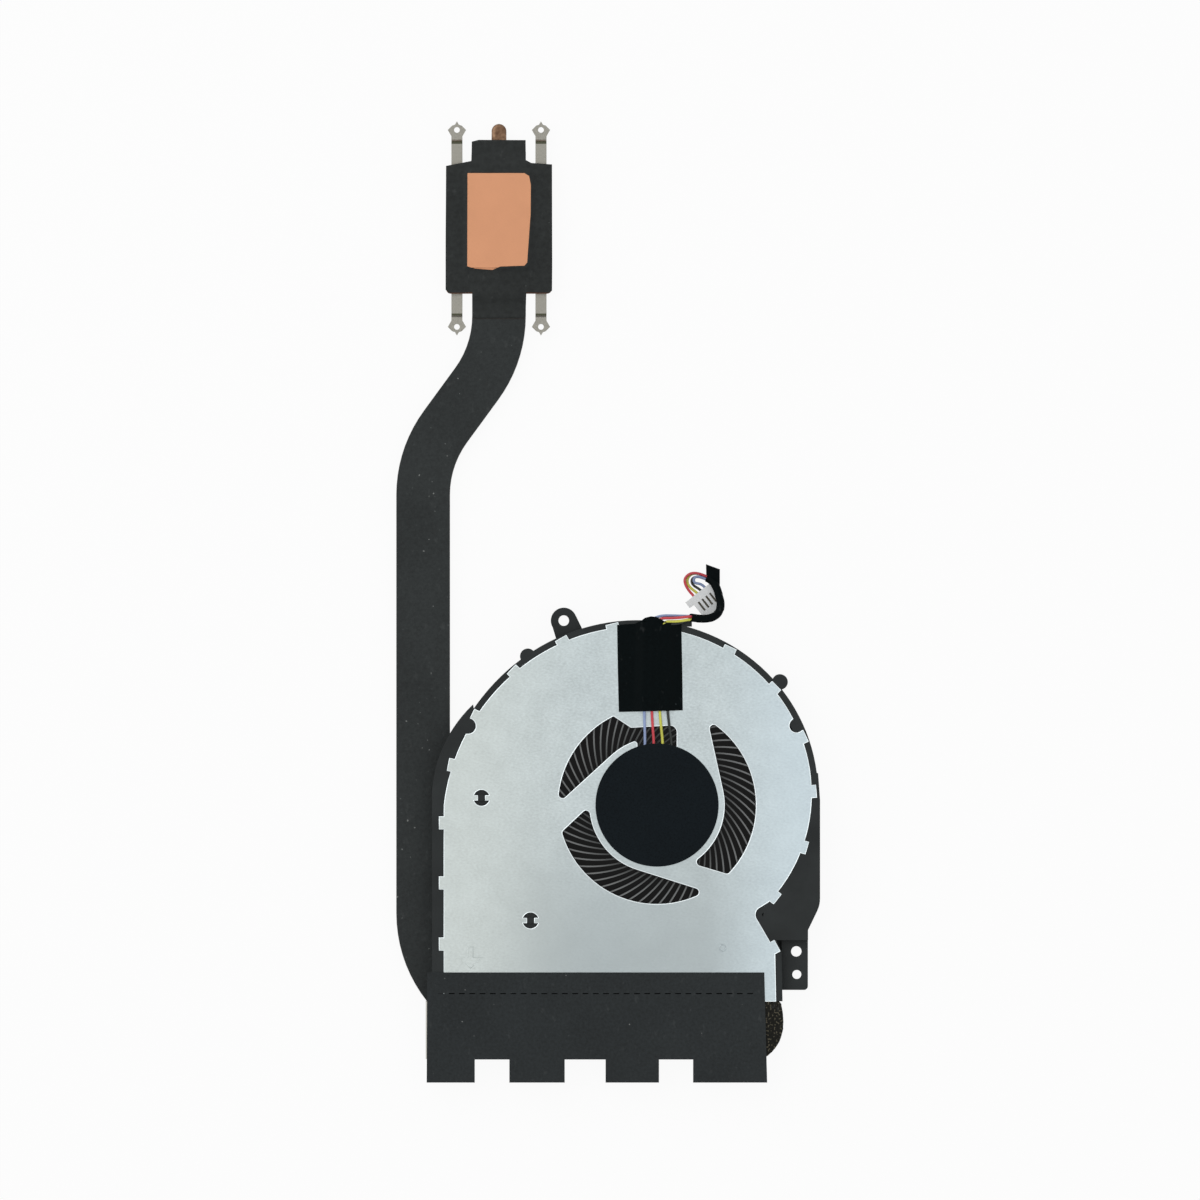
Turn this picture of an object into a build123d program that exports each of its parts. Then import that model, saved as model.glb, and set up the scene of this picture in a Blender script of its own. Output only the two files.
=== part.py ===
"""Laptop cooling module: a thin blower, a flat heat pipe, a fin stack and a sprung cold plate.

Lengths are in millimetres. +Z points at the side with the metal cover, +Y runs from the blower
to the cold plate, and the module lies on Z = 0. Plan positions are measured from the blower's
shaft axis, and the row's origin is the middle of the module's outline, on the surface.
"""

import os
from math import acos, cos, degrees, log, radians, sin, tan

from build123d import *

os.makedirs("parts", exist_ok=True)

# Driving dimensions: the module's plan
pipe_x = -48.7
pipe_width = 11.2
flank_x = 33.9
head_x = -32.9
spring_pitch_x = 17.5
spring_pitch_y = 41.0
spring_mid_y = 120.0
spring_tip = 1.8
film_bottom_y = -57.7

# Driving dimensions: heat pipe
pipe_thickness = 2.0
pipe_bend_r = 24.0
pipe_top_y = 136.0
pipe_jog_top_y = 94.0
pipe_jog_bottom_y = 72.4
pipe_foot_y = -46.6
pipe_foot_margin = 2.7
stub_width = 3.1
stub_thickness = 1.5
stub_length = 3.4
shoulder_length = 2.4
seam_width = 8.0
seam_thickness = 1.2

# Driving dimensions: blower case
case_height = 5.9
floor_thickness = 0.7
side_wall = 1.1
rim_width = 1.4
cover_thickness = 0.4
cover_top = 6.0
seat_gap = 0.1
outlet_y = -40.8
outlet_margin = 3.2
throat_y = -30.8
throat_x = 24.5
neck = (23.4, -28.4)
tongue = (19.8, -22.2)
tongue_r = 1.7
left_wall_x = -44.3
scroll_from = -30.0
scroll_first = -41.0
scroll_last = 180.0
scroll_start_r = 31.0
scroll_gain = 5.3
scroll_growth = 5.2
left_rim_x = -46.8
shoulder_foot_y = 3.0
shoulder_middle = (-44.9, 11.2)
shoulder_top = (-38.3, 20.9)
rail_overlap = 3.0
flank_root = (28.0, 6.6)
flank_taper = (0.4, 5.6)
flank_shoulder_y = -20.8
flank_shoulder_r = 6.0
flank_foot_y = -26.0
flank_overlap = 2.0
pipe_gap = 0.3
step_skin = 0.6
floor_inlet_r = 21.0
inlet_lip = 0.8

# Driving dimensions: cover openings
inlet_inner_r = 14.0
inlet_outer_r = 20.65
inlet_first_angle = 12.4
inlet_span = 72.4
inlet_slant = 15.6
inlet_corner_r = 0.9
notch_half = 4.16
notch_top = 16.7
notch_bottom = 9.2
notch_corner_r = 1.5
notch_lead = (2.0, 0.6)
notched_first_angle = 98.0
notched_outer_angle = 116.0
notched_corner_r = 0.4
tongue_corner_r = 0.5
tab_angles = (-38, -16, 5, 25, 45, 65, 104, 120, 137, 154, 169)
left_tab_heights = (-3.7, -16.2, -28.9)
right_tab_place = (24.1, -29.7)
right_tab_angle = 28.0
tab_width = 2.6
tab_depth = 1.0
post_places = ((-36.5, 1.5), (-26.3, -24.0))
post_r = 2.3
post_pin_r = 0.7
post_hole_r = 1.75
tang_width = 1.0

# Driving dimensions: case lugs
ear_place = (-19.4, 38.35)
ear_r = 2.7
ear_foot = ((-22.0, 37.9), (-20.9, 34.2), (-15.4, 36.3), (-16.9, 39.4))
lug_hole_r = 1.1
lug_bottom = 2.2
lug_thickness = 1.6
bracket_left_x = 25.9
bracket_right_x = 31.4
bracket_top_y = -28.1
bracket_bottom_y = -38.5
bracket_corner_r = 0.8
bracket_overlap = 0.4
bracket_hole = (29.0, -30.5)
pin_hole = (29.1, -35.3)
pin_hole_r = 0.95
bump_r = 1.6
bump_places = ((45.0, 36.2), (131.0, 41.0))
boss_places = ((29.7, 33.4, 1.45), (157.3, 42.6, 1.6))
guide_place = (6.1, 37.8)
guide_size = (2.3, 1.4)

# Driving dimensions: rotor
impeller_r = 27.0
impeller_bottom = 0.9
hub_r = 12.3
hub_wall = 0.65
hub_floor = 0.5
hub_top = 4.6
blade_count = 61
blade_thickness = 0.32
blade_bottom = 1.0
blade_top = 5.1
blade_lean = 44.0
ring_width = 0.7
ring_height = 0.6
yoke_wall = 0.5
yoke_floor = 0.4
yoke_top = 4.3
yoke_boss_r = 1.9
yoke_boss_height = 0.25
magnet_thickness = 1.05
magnet_top = 4.2
shaft_r = 1.0
shaft_top = 5.0
groove_r = 0.7
groove_bottom = 4.4
groove_height = 0.4

# Driving dimensions: bearing and stator
bearing_gap = 0.03
sleeve_r = 2.2
sleeve_bottom = 2.35
holder_r = 3.0
flange_r = 4.2
flange_thickness = 0.3
pad_thickness = 0.3
washer_thickness = 0.2
washer_hole_r = 0.8
air_gap = 0.35
pole_count = 6
core_bottom = 2.4
core_thickness = 1.8
core_hub_r = 4.6
pole_width = 1.6
pole_head = 1.2
pole_head_angle = 46.0
coil_start_r = 4.9
coil_end_r = 8.1
coil_wall = 0.8
coil_rise = 0.5
board_r = 11.9
board_thickness = 0.4
chip_size = (1.5, 2.8, 0.55)
chip_r = 9.1
chip_angle = 30.0

# Driving dimensions: label, tapes, films and foam
film = 0.1
label_r = 12.8
film_edge = 0.1
film_start_gap = 0.2
wire_tape_width = 13.5
wire_tape_x = -1.6
wire_tape_bottom_y = 19.4
wire_tape_top_y = 37.4
wire_ridge_half = 3.5
wire_ridge_slope = 0.9
fin_film_left_x = -47.8
fin_film_over = 0.8
fin_film_lean = 0.6
fin_film_top_y = -34.8
slot_tops_y = -52.9
slots_x = ((-37.9, -30.7), (-19.2, -10.7), (0.4, 7.5))
fold_y = -39.2
dash_pitch = 2.14
dash_size = (1.2, 0.2)
foam_width = 5.0
foam_bottom = 0.3
foam_round = 0.5
foam_toe = 1.4
foam_lean = 0.8
foam_bend = 2.6
foam_short = 0.4

# Driving dimensions: fin stack
fin_left_x = -48.1
fin_length = 69.6
fin_depth = 12.0
fin_pitch = 1.2
fin_sheet = 0.2

# Driving dimensions: cold plate and springs
plate_width = 22.0
plate_top_y = 133.0
plate_bottom_y = 106.4
plate_thickness = 1.0
pad_width = 13.4
pad_top_y = 131.6
pad_bottom_y = 111.8
pad_rise = 0.5
spring_thickness = 0.3
spring_width = 2.3
spring_joggle = 0.5
spring_fold = 2.6
head_half = 1.9
head_throat = 1.3
head_shoulder = (1.0, 0.9)
tip_foot = (0.4, 1.1)
screw_hole_r = 0.6
rivet_r = 0.6
rivet_head_r = 1.0
rivet_head = 0.3
rivet_heights = (129.5, 110.5)
tape_neck_half = 5.7
tape_top_y = 138.5
tape_bottom_y = 101.3

# Driving dimensions: wires and their wrap, as routes of plan position and height
wire_d = 0.56
wire_bend_share = 0.45
wire_bundle_r = 0.43
wire_bundle_turn = 90.0
wrap_r = 0.84
wrap_bore_r = 0.7
wrap_route = (
    (6.9, 39.0, 6.72),
    (8.95, 38.7, 5.6),
    (11.2, 38.8, 4.5),
    (12.95, 39.9, 3.6),
    (13.35, 41.9, 2.9),
    (12.85, 43.8, 2.45),
    (12.4, 45.25, 2.15),
    (11.75, 46.5, 1.55),
    (10.5, 47.2, 0.9),
)
flag_corners = (
    (12.0, 45.4),
    (11.35, 46.6),
    (10.19, 47.9),
    (10.19, 50.13),
    (13.1, 49.09),
    (13.1, 45.1),
    (12.7, 44.6),
)
flag_thickness = 0.16
flag_z = 1.75
pad_size = (0.8, 0.5)
blue_start = (
    (-2.5, 9.8, 5.58),
    (-2.5, 13.0, 5.58),
    (-2.55, 16.1, 6.33),
    (-2.75, 22.5, 6.31),
    (-2.5, 31.0, 6.3),
    (-2.3, 39.5, 6.3),
)
blue_end = (
    (8.7, 47.6, 1.2),
    (7.65, 47.3, 1.15),
    (7.7, 46.15, 1.1),
    (9.0, 46.05, 0.9),
)
red_start = (
    (-0.6, 9.8, 5.58),
    (-0.65, 13.0, 5.58),
    (-0.9, 16.1, 6.33),
    (-1.25, 22.5, 6.31),
    (-1.1, 31.0, 6.3),
    (-0.7, 38.85, 6.3),
    (4.0, 38.85, 7.1),
)
red_end = (
    (8.4, 48.3, 1.2),
    (6.8, 48.2, 1.2),
    (5.7, 47.1, 1.2),
    (5.9, 45.8, 1.1),
    (6.7, 44.5, 0.85),
)
yellow_start = (
    (1.25, 9.8, 5.58),
    (1.2, 13.0, 5.58),
    (0.85, 16.1, 6.33),
    (0.3, 22.5, 6.31),
    (0.3, 31.0, 6.3),
    (0.65, 38.25, 6.3),
    (4.4, 38.15, 6.95),
)
yellow_end = (
    (8.3, 48.3, 0.52),
    (6.8, 47.9, 0.52),
    (6.2, 46.6, 0.52),
    (6.75, 45.3, 0.7),
)
black_start = (
    (3.1, 9.8, 5.58),
    (3.05, 13.0, 5.58),
    (2.55, 16.1, 6.33),
    (1.95, 22.5, 6.31),
    (1.75, 31.0, 6.3),
    (2.1, 37.7, 6.3),
    (4.6, 37.68, 6.3),
)
black_end = (
    (8.5, 47.6, 0.52),
    (7.2, 47.1, 0.52),
    (7.3, 45.8, 0.65),
)

# Driving dimensions: plug
plug_place = (8.84, 44.41)
plug_angle = -52.0
plug_pitch = 1.0
plug_ways = 4
plug_width = 5.2
plug_depth = 5.3
plug_height = 1.5
plug_chamfer = 1.1
plug_ear = (1.5, 1.1)
plug_wire_z = 0.85
plug_bore_r = 0.275
plug_bore_depth = 1.6
plug_slot_length = 2.2
plug_slot_width = 0.4
plug_floor = 0.5
mouth_size = (0.5, 0.6)
contact_width = 0.3
contact_height = 0.35
contact_length = 3.2

# The row's origin lies at the middle of the module's outline
left_end = pipe_x - pipe_width / 2
top_end = spring_mid_y + spring_pitch_y / 2 + spring_tip
shaft_x = -(left_end + flank_x) / 2
shaft_y = -(top_end + film_bottom_y) / 2


def level(height):
    """The plan at one height, with its origin on the shaft's axis."""
    return Plane(origin=(shaft_x, shaft_y, height))


def polar(angle, radius):
    """A plan point at an angle and a distance from the shaft."""
    return (radius * cos(radians(angle)), radius * sin(radians(angle)))


def scroll_r(angle):
    """The cover's edge grows with the turn from the tongue, as a scroll does."""
    turn = (angle - scroll_from) / 180
    return scroll_start_r + scroll_gain * turn + scroll_growth * turn**2


def rounded(sketch, place, radius):
    """Rounds the corner of a sketch nearest to a place."""
    fillet(sketch.vertices().sort_by_distance(place)[0], radius)


def write(piece, name):
    """Labels a finished piece and writes it as its own file."""
    piece.part.label = name
    export_step(piece.part, f"parts/{name}.step")


# Places along the fins that follow from their length
fin_right_x = fin_left_x + fin_length
outlet_right_x = fin_right_x + outlet_margin
pipe_foot_end_x = fin_right_x - pipe_foot_margin
fin_film_right_x = fin_right_x + fin_film_over

# Heights that follow from the thicknesses
cover_bottom = cover_top - cover_thickness
flange_bottom = cover_bottom - flange_thickness
board_bottom = flange_bottom - board_thickness
hub_inner_r = hub_r - hub_wall
yoke_r = hub_inner_r
yoke_bottom = impeller_bottom + hub_floor
magnet_r = yoke_r - yoke_wall
core_r = magnet_r - magnet_thickness - air_gap

# Plan of the cover: the scroll, its straight left side and the outlet
scroll_steps = 12
scroll_angles = [
    scroll_first + (scroll_last - scroll_first) * step / (scroll_steps - 1) for step in range(scroll_steps)
]


def moved_corner(before, corner, after, distance):
    """A corner whose two sides both move to the right by one distance."""
    first = (Vector(*corner) - Vector(*before)).normalized()
    second = (Vector(*after) - Vector(*corner)).normalized()
    first_side = Vector(first.Y, -first.X)
    second_side = Vector(second.Y, -second.X)
    return Vector(*corner) + (first_side + second_side) * (distance / (1 + first_side.dot(second_side)))


def cover_outline(grow, mouth_y):
    """The cover's outline moved outwards, with its outlet at one height in the plan."""
    outlet_corner = (outlet_right_x, outlet_y)
    throat = (throat_x, throat_y)
    scroll_start = polar(scroll_first, scroll_r(scroll_first))
    with BuildSketch() as outline:
        with BuildLine():
            scroll = Spline(*[polar(angle, scroll_r(angle) + grow) for angle in scroll_angles])
            Polyline(
                scroll @ 1,
                (left_wall_x - grow, -8.0),
                (left_wall_x - grow, mouth_y),
                (outlet_right_x + grow, mouth_y),
                moved_corner(outlet_corner, throat, neck, grow),
                moved_corner(throat, neck, tongue, grow),
                moved_corner(neck, tongue, scroll_start, grow),
                scroll @ 0,
            )
        make_face()
        rounded(outline, tongue, max(tongue_r - grow, 0.1))
    return outline.sketch


cover_plan = cover_outline(0, outlet_y)

# Plan of the heat pipe: one line with three bends
with BuildLine() as pipe_line:
    FilletPolyline(
        (head_x, pipe_top_y),
        (head_x, pipe_jog_top_y),
        (pipe_x, pipe_jog_bottom_y),
        (pipe_x, pipe_foot_y),
        (pipe_foot_end_x, pipe_foot_y),
        radius=pipe_bend_r,
    )

# Plan of the case: the cover's outline with a rim, a left rail and a right flank
with BuildSketch() as flank_plan:
    Polygon(
        flank_root,
        (flank_x - flank_taper[0], flank_root[1]),
        (flank_x, flank_root[1] - flank_taper[1]),
        (flank_x, flank_shoulder_y),
        (bracket_right_x, flank_foot_y),
        (bracket_right_x, bracket_top_y),
        (throat_x, bracket_top_y),
        (neck[0] - flank_overlap, neck[1] + flank_overlap),
        align=None,
    )
    rounded(flank_plan, (flank_x, flank_shoulder_y), flank_shoulder_r)
with BuildSketch() as left_rail_plan:
    with BuildLine():
        shoulder = ThreePointArc((left_rim_x, shoulder_foot_y), shoulder_middle, shoulder_top)
        Polyline(
            shoulder @ 1,
            (shoulder_top[0] + rail_overlap, shoulder_foot_y),
            (shoulder_top[0] + rail_overlap, outlet_y),
            (left_rim_x, outlet_y),
            shoulder @ 0,
        )
    make_face()
with BuildSketch() as case_plan:
    add(cover_outline(rim_width, outlet_y))
    add(flank_plan.sketch)
    add(left_rail_plan.sketch)
    with Locations(guide_place):
        Rectangle(*guide_size)
    for angle, radius in bump_places:
        with Locations(polar(angle, radius)):
            Circle(bump_r)

# Blower case: floor, scroll wall, lugs and the channel over the heat pipe
with BuildPart() as fan_housing:
    with BuildSketch(level(0)):
        add(case_plan.sketch)
    extrude(amount=case_height)
    with BuildSketch(level(floor_thickness)):
        add(cover_outline(-side_wall, outlet_y - side_wall))
    extrude(amount=case_height, mode=Mode.SUBTRACT)
    with BuildSketch(level(0)):
        Circle(floor_inlet_r)
    extrude(amount=case_height, mode=Mode.SUBTRACT)
    with BuildSketch(level(floor_thickness)):
        Circle(floor_inlet_r + inlet_lip)
        Circle(floor_inlet_r, mode=Mode.SUBTRACT)
    extrude(amount=pipe_gap / 2)
    for place in post_places:
        with BuildSketch(level(0)):
            with Locations(place):
                Circle(post_r)
        extrude(amount=cover_bottom)
        with BuildSketch(level(0)):
            with Locations(place):
                Circle(post_pin_r)
        extrude(amount=case_height)
    with BuildSketch(level(0)) as roof_plan:
        add(pipe_line.line)
        trace(line_width=pipe_width + 2 * (pipe_gap + step_skin))
        add(case_plan.sketch, mode=Mode.INTERSECT)
    extrude(amount=pipe_thickness + pipe_gap + step_skin)
    with BuildSketch(level(0)) as channel_plan:
        add(pipe_line.line)
        trace(line_width=pipe_width + 2 * pipe_gap)
    extrude(amount=pipe_thickness + pipe_gap, mode=Mode.SUBTRACT)
    with BuildSketch(level(cover_bottom)):
        add(cover_outline(seat_gap, outlet_y - side_wall))
        for angle in tab_angles:
            with Locations(Location(polar(angle, scroll_r(angle)), angle)):
                Rectangle(2 * (tab_depth + seat_gap), tab_width + 2 * seat_gap)
        for height in left_tab_heights:
            with Locations((left_wall_x, height)):
                Rectangle(2 * (tab_depth + seat_gap), tab_width + 2 * seat_gap)
        with Locations(Location(right_tab_place, right_tab_angle)):
            Rectangle(2 * (tab_depth + seat_gap), tab_width + 2 * seat_gap)
        for angle, radius, boss_r in boss_places:
            with Locations(polar(angle, radius)):
                Circle(boss_r, mode=Mode.SUBTRACT)
        for place in post_places:
            with Locations(place):
                Circle(post_pin_r, mode=Mode.SUBTRACT)
    extrude(amount=case_height, mode=Mode.SUBTRACT)
    with BuildSketch(level(lug_bottom)):
        with Locations(ear_place):
            Circle(ear_r)
        Polygon(*ear_foot, align=None)
    extrude(amount=lug_thickness)
    with BuildSketch(level(lug_bottom)) as bracket_plan:
        Polygon(
            (bracket_left_x, bracket_bottom_y),
            (bracket_right_x, bracket_bottom_y),
            (bracket_right_x, bracket_top_y + bracket_overlap),
            (bracket_left_x, bracket_top_y + bracket_overlap),
            align=None,
        )
        rounded(bracket_plan, (bracket_right_x, bracket_bottom_y), bracket_corner_r)
    extrude(amount=lug_thickness)
    with BuildSketch(level(0)):
        with Locations(ear_place, bracket_hole):
            Circle(lug_hole_r)
        with Locations(pin_hole):
            Circle(pin_hole_r)
    extrude(amount=case_height, mode=Mode.SUBTRACT)
write(fan_housing, "fan_housing")


def tip_angle(middle):
    """Where the tangent to the inner arc meets the outer arc."""
    return middle + degrees(acos(inlet_inner_r / inlet_outer_r))


def inlet_opening(middle, first, first_outer):
    """One crescent: an inner arc, its tangent to the tip, the outer arc and a slanted end."""
    tip = tip_angle(middle)
    with BuildSketch() as opening:
        with BuildLine():
            inner = CenterArc((0, 0), inlet_inner_r, first, middle - first)
            outer = CenterArc((0, 0), inlet_outer_r, tip, first_outer - tip)
            Line(inner @ 1, outer @ 0)
            Line(outer @ 1, inner @ 0)
        make_face()
    return opening.sketch


# Metal cover: pressed sheet with tabs in the rim, three inlet openings and a wire notch
with BuildSketch() as openings_plan:
    for turn in (0, 240):
        middle = inlet_first_angle + turn
        first = middle - inlet_span
        add(inlet_opening(middle, first, first + inlet_slant))
        rounded(openings_plan, polar(first, inlet_inner_r), inlet_corner_r)
        rounded(openings_plan, polar(first + inlet_slant, inlet_outer_r), inlet_corner_r)
        rounded(openings_plan, polar(tip_angle(middle), inlet_outer_r), inlet_corner_r)
with BuildSketch() as notched_opening:
    middle = inlet_first_angle + 120
    add(inlet_opening(middle, notched_first_angle, notched_outer_angle))
    Polygon(
        (-notch_half - notch_lead[0], notch_top - notch_lead[1]),
        (notch_half, notch_top),
        (notch_half, notch_bottom),
        (-notch_half, notch_bottom),
        (-notch_half, inlet_inner_r),
        (-notch_half - notch_lead[0], inlet_inner_r),
        align=None,
    )
    rounded(notched_opening, (notch_half, notch_top), notch_corner_r)
    rounded(notched_opening, polar(notched_outer_angle, inlet_outer_r), notched_corner_r)
    rounded(notched_opening, polar(tip_angle(middle), inlet_outer_r), inlet_corner_r)
    tongue_tip = (-notch_half, inlet_inner_r * sin(acos(notch_half / inlet_inner_r)))
    rounded(notched_opening, tongue_tip, tongue_corner_r)
with BuildPart() as cover_plate:
    with BuildSketch(level(cover_bottom)):
        add(cover_plan)
        for angle in tab_angles:
            with Locations(Location(polar(angle, scroll_r(angle)), angle)):
                Rectangle(2 * tab_depth, tab_width)
        for height in left_tab_heights:
            with Locations((left_wall_x, height)):
                Rectangle(2 * tab_depth, tab_width)
        with Locations(Location(right_tab_place, right_tab_angle)):
            Rectangle(2 * tab_depth, tab_width)
        for angle, radius, boss_r in boss_places:
            with Locations(polar(angle, radius)):
                Circle(boss_r + seat_gap, mode=Mode.SUBTRACT)
        for place in post_places:
            with Locations(place):
                Circle(post_hole_r, mode=Mode.SUBTRACT)
        add(openings_plan.sketch, mode=Mode.SUBTRACT)
        add(notched_opening.sketch, mode=Mode.SUBTRACT)
    extrude(amount=cover_thickness)
    tang_length = post_hole_r - post_pin_r - seat_gap
    with BuildSketch(level(cover_bottom)):
        for x, y in post_places:
            for side in (-1, 1):
                with Locations((x + side * (post_hole_r - tang_length / 2 + seat_gap), y)):
                    Rectangle(tang_length + 2 * seat_gap, tang_width)
    extrude(amount=cover_thickness)
write(cover_plate, "cover_plate")

# Impeller: hub cup, swept-back blades and a ring at the tips
blade_root_r = hub_r - hub_wall / 2
blade_outer_r = impeller_r - ring_width / 2


def blade_angle(radius):
    """The lag of a blade's centre line, which crosses every radius at the same lean."""
    return -degrees(tan(radians(blade_lean)) * log(radius / blade_root_r))


with BuildSketch() as blade_plan:
    with BuildLine():
        blade_mid_r = (blade_root_r + blade_outer_r) / 2
        ThreePointArc(
            polar(0, blade_root_r),
            polar(blade_angle(blade_mid_r), blade_mid_r),
            polar(blade_angle(blade_outer_r), blade_outer_r),
        )
    trace(line_width=blade_thickness)
with BuildPart() as impeller:
    with BuildSketch(level(impeller_bottom)):
        Circle(hub_r)
    extrude(amount=hub_top - impeller_bottom)
    fillet(impeller.edges().group_by(Axis.Z)[0], 0.3)
    with BuildSketch(level(impeller_bottom + hub_floor)):
        Circle(hub_inner_r)
    extrude(amount=hub_top, mode=Mode.SUBTRACT)
    with BuildSketch(level(blade_bottom)):
        with PolarLocations(0, blade_count):
            add(blade_plan.sketch)
        Circle(hub_r - hub_wall / 2, mode=Mode.SUBTRACT)
    extrude(amount=blade_top - blade_bottom)
    with BuildSketch(level(blade_bottom)):
        Circle(impeller_r)
        Circle(impeller_r - ring_width, mode=Mode.SUBTRACT)
    extrude(amount=ring_height)
write(impeller, "impeller")

# Rotor yoke, magnet ring and shaft, inside the hub
with BuildPart() as rotor_yoke:
    with BuildSketch(level(yoke_bottom)):
        Circle(yoke_r)
    extrude(amount=yoke_top - yoke_bottom)
    with BuildSketch(level(yoke_bottom + yoke_floor)):
        Circle(magnet_r)
        Circle(yoke_boss_r, mode=Mode.SUBTRACT)
    extrude(amount=yoke_top, mode=Mode.SUBTRACT)
    with BuildSketch(level(yoke_bottom + yoke_floor + yoke_boss_height)):
        Circle(yoke_boss_r)
    extrude(amount=yoke_top, mode=Mode.SUBTRACT)
    with BuildSketch(level(yoke_bottom)):
        Circle(shaft_r)
    extrude(amount=yoke_top, mode=Mode.SUBTRACT)
write(rotor_yoke, "rotor_yoke")

with BuildPart() as magnet_ring:
    with BuildSketch(level(yoke_bottom + yoke_floor)):
        Circle(magnet_r)
        Circle(magnet_r - magnet_thickness, mode=Mode.SUBTRACT)
    extrude(amount=magnet_top - yoke_bottom - yoke_floor)
write(magnet_ring, "magnet_ring")

with BuildPart() as shaft:
    with BuildSketch(level(yoke_bottom)):
        Circle(shaft_r)
    extrude(amount=shaft_top - yoke_bottom)
    with BuildSketch(level(groove_bottom)):
        Circle(shaft_r)
        Circle(groove_r, mode=Mode.SUBTRACT)
    extrude(amount=groove_height, mode=Mode.SUBTRACT)
write(shaft, "shaft")

# Bearing: a brass holder on the cover, the sleeve, the washer and the thrust pad
with BuildPart() as bearing_holder:
    with BuildSketch(level(sleeve_bottom)):
        Circle(holder_r)
    extrude(amount=cover_bottom - sleeve_bottom)
    with BuildSketch(level(flange_bottom)):
        Circle(flange_r)
    extrude(amount=flange_thickness)
    with BuildSketch(level(sleeve_bottom)):
        Circle(sleeve_r)
    extrude(amount=flange_bottom - sleeve_bottom, mode=Mode.SUBTRACT)
write(bearing_holder, "bearing_holder")

with BuildPart() as bearing_sleeve:
    with BuildSketch(level(sleeve_bottom)):
        Circle(sleeve_r)
        Circle(shaft_r + bearing_gap, mode=Mode.SUBTRACT)
    extrude(amount=groove_bottom - sleeve_bottom)
write(bearing_sleeve, "bearing_sleeve")

washer_bottom = groove_bottom + (groove_height - washer_thickness) / 2
with BuildPart() as retaining_washer:
    with BuildSketch(level(washer_bottom)):
        Circle(sleeve_r)
        Circle(washer_hole_r, mode=Mode.SUBTRACT)
    extrude(amount=washer_thickness)
write(retaining_washer, "retaining_washer")

with BuildPart() as thrust_pad:
    with BuildSketch(level(flange_bottom - pad_thickness)):
        Circle(sleeve_r)
    extrude(amount=pad_thickness)
write(thrust_pad, "thrust_pad")

# Stator: laminated core with six poles, a coil on each pole, the motor board and its chip
with BuildPart() as stator_core:
    with BuildSketch(level(core_bottom)):
        Circle(core_hub_r)
        with PolarLocations((core_hub_r + core_r) / 2 - 0.4, pole_count):
            Rectangle(core_r - core_hub_r, pole_width)
        for pole in range(pole_count):
            start = pole * 360 / pole_count - pole_head_angle / 2
            with BuildLine():
                rim = CenterArc((0, 0), core_r, start, pole_head_angle)
                back = CenterArc((0, 0), core_r - pole_head, start, pole_head_angle)
                Line(rim @ 0, back @ 0)
                Line(rim @ 1, back @ 1)
            make_face()
        Circle(holder_r, mode=Mode.SUBTRACT)
    extrude(amount=core_thickness)
write(stator_core, "stator_core")

coil_length = coil_end_r - coil_start_r
with BuildPart() as stator_coils:
    with BuildSketch(level(core_bottom - coil_rise)):
        with PolarLocations(coil_start_r + coil_length / 2, pole_count):
            RectangleRounded(coil_length, pole_width + 2 * coil_wall, 0.4)
    extrude(amount=core_thickness + 2 * coil_rise)
    with BuildSketch(level(core_bottom)):
        with PolarLocations(coil_start_r + coil_length / 2, pole_count):
            Rectangle(coil_length + 1, pole_width)
    extrude(amount=core_thickness, mode=Mode.SUBTRACT)
write(stator_coils, "stator_coils")

with BuildPart() as motor_board:
    with BuildSketch(level(board_bottom)):
        Circle(board_r)
        Circle(holder_r, mode=Mode.SUBTRACT)
    extrude(amount=board_thickness)
write(motor_board, "motor_board")

with BuildPart() as driver_chip:
    with BuildSketch(level(board_bottom - chip_size[2])):
        with Locations(Location(polar(chip_angle, chip_r), chip_angle)):
            Rectangle(chip_size[0], chip_size[1])
    extrude(amount=chip_size[2])
write(driver_chip, "driver_chip")

# Motor label and the tape over the wires
with BuildPart() as motor_label:
    with BuildSketch(level(cover_top)):
        Circle(label_r)
    extrude(amount=film)
write(motor_label, "motor_label")

ridge_height = cover_top + wire_d + 0.05
wire_tape_plane = Plane(
    origin=(shaft_x + wire_tape_x, shaft_y + wire_tape_bottom_y, 0), x_dir=(1, 0, 0), z_dir=(0, -1, 0)
)
with BuildPart() as wire_tape:
    with BuildSketch(wire_tape_plane):
        half = wire_tape_width / 2
        ridge_x = -wire_tape_x
        with BuildLine():
            under = Polyline(
                (-half, cover_top),
                (ridge_x - wire_ridge_half - wire_ridge_slope, cover_top),
                (ridge_x - wire_ridge_half, ridge_height),
                (ridge_x + wire_ridge_half, ridge_height),
                (ridge_x + wire_ridge_half + wire_ridge_slope, cover_top),
                (half, cover_top),
            )
            over = Polyline(
                (-half, cover_top + film),
                (ridge_x - wire_ridge_half - wire_ridge_slope - film / 2, cover_top + film),
                (ridge_x - wire_ridge_half - film / 2, ridge_height + film),
                (ridge_x + wire_ridge_half + film / 2, ridge_height + film),
                (ridge_x + wire_ridge_half + wire_ridge_slope + film / 2, cover_top + film),
                (half, cover_top + film),
            )
            Line(under @ 0, over @ 0)
            Line(under @ 1, over @ 1)
        make_face()
    extrude(amount=wire_tape_bottom_y - wire_tape_top_y)
write(wire_tape, "wire_tape")

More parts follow.
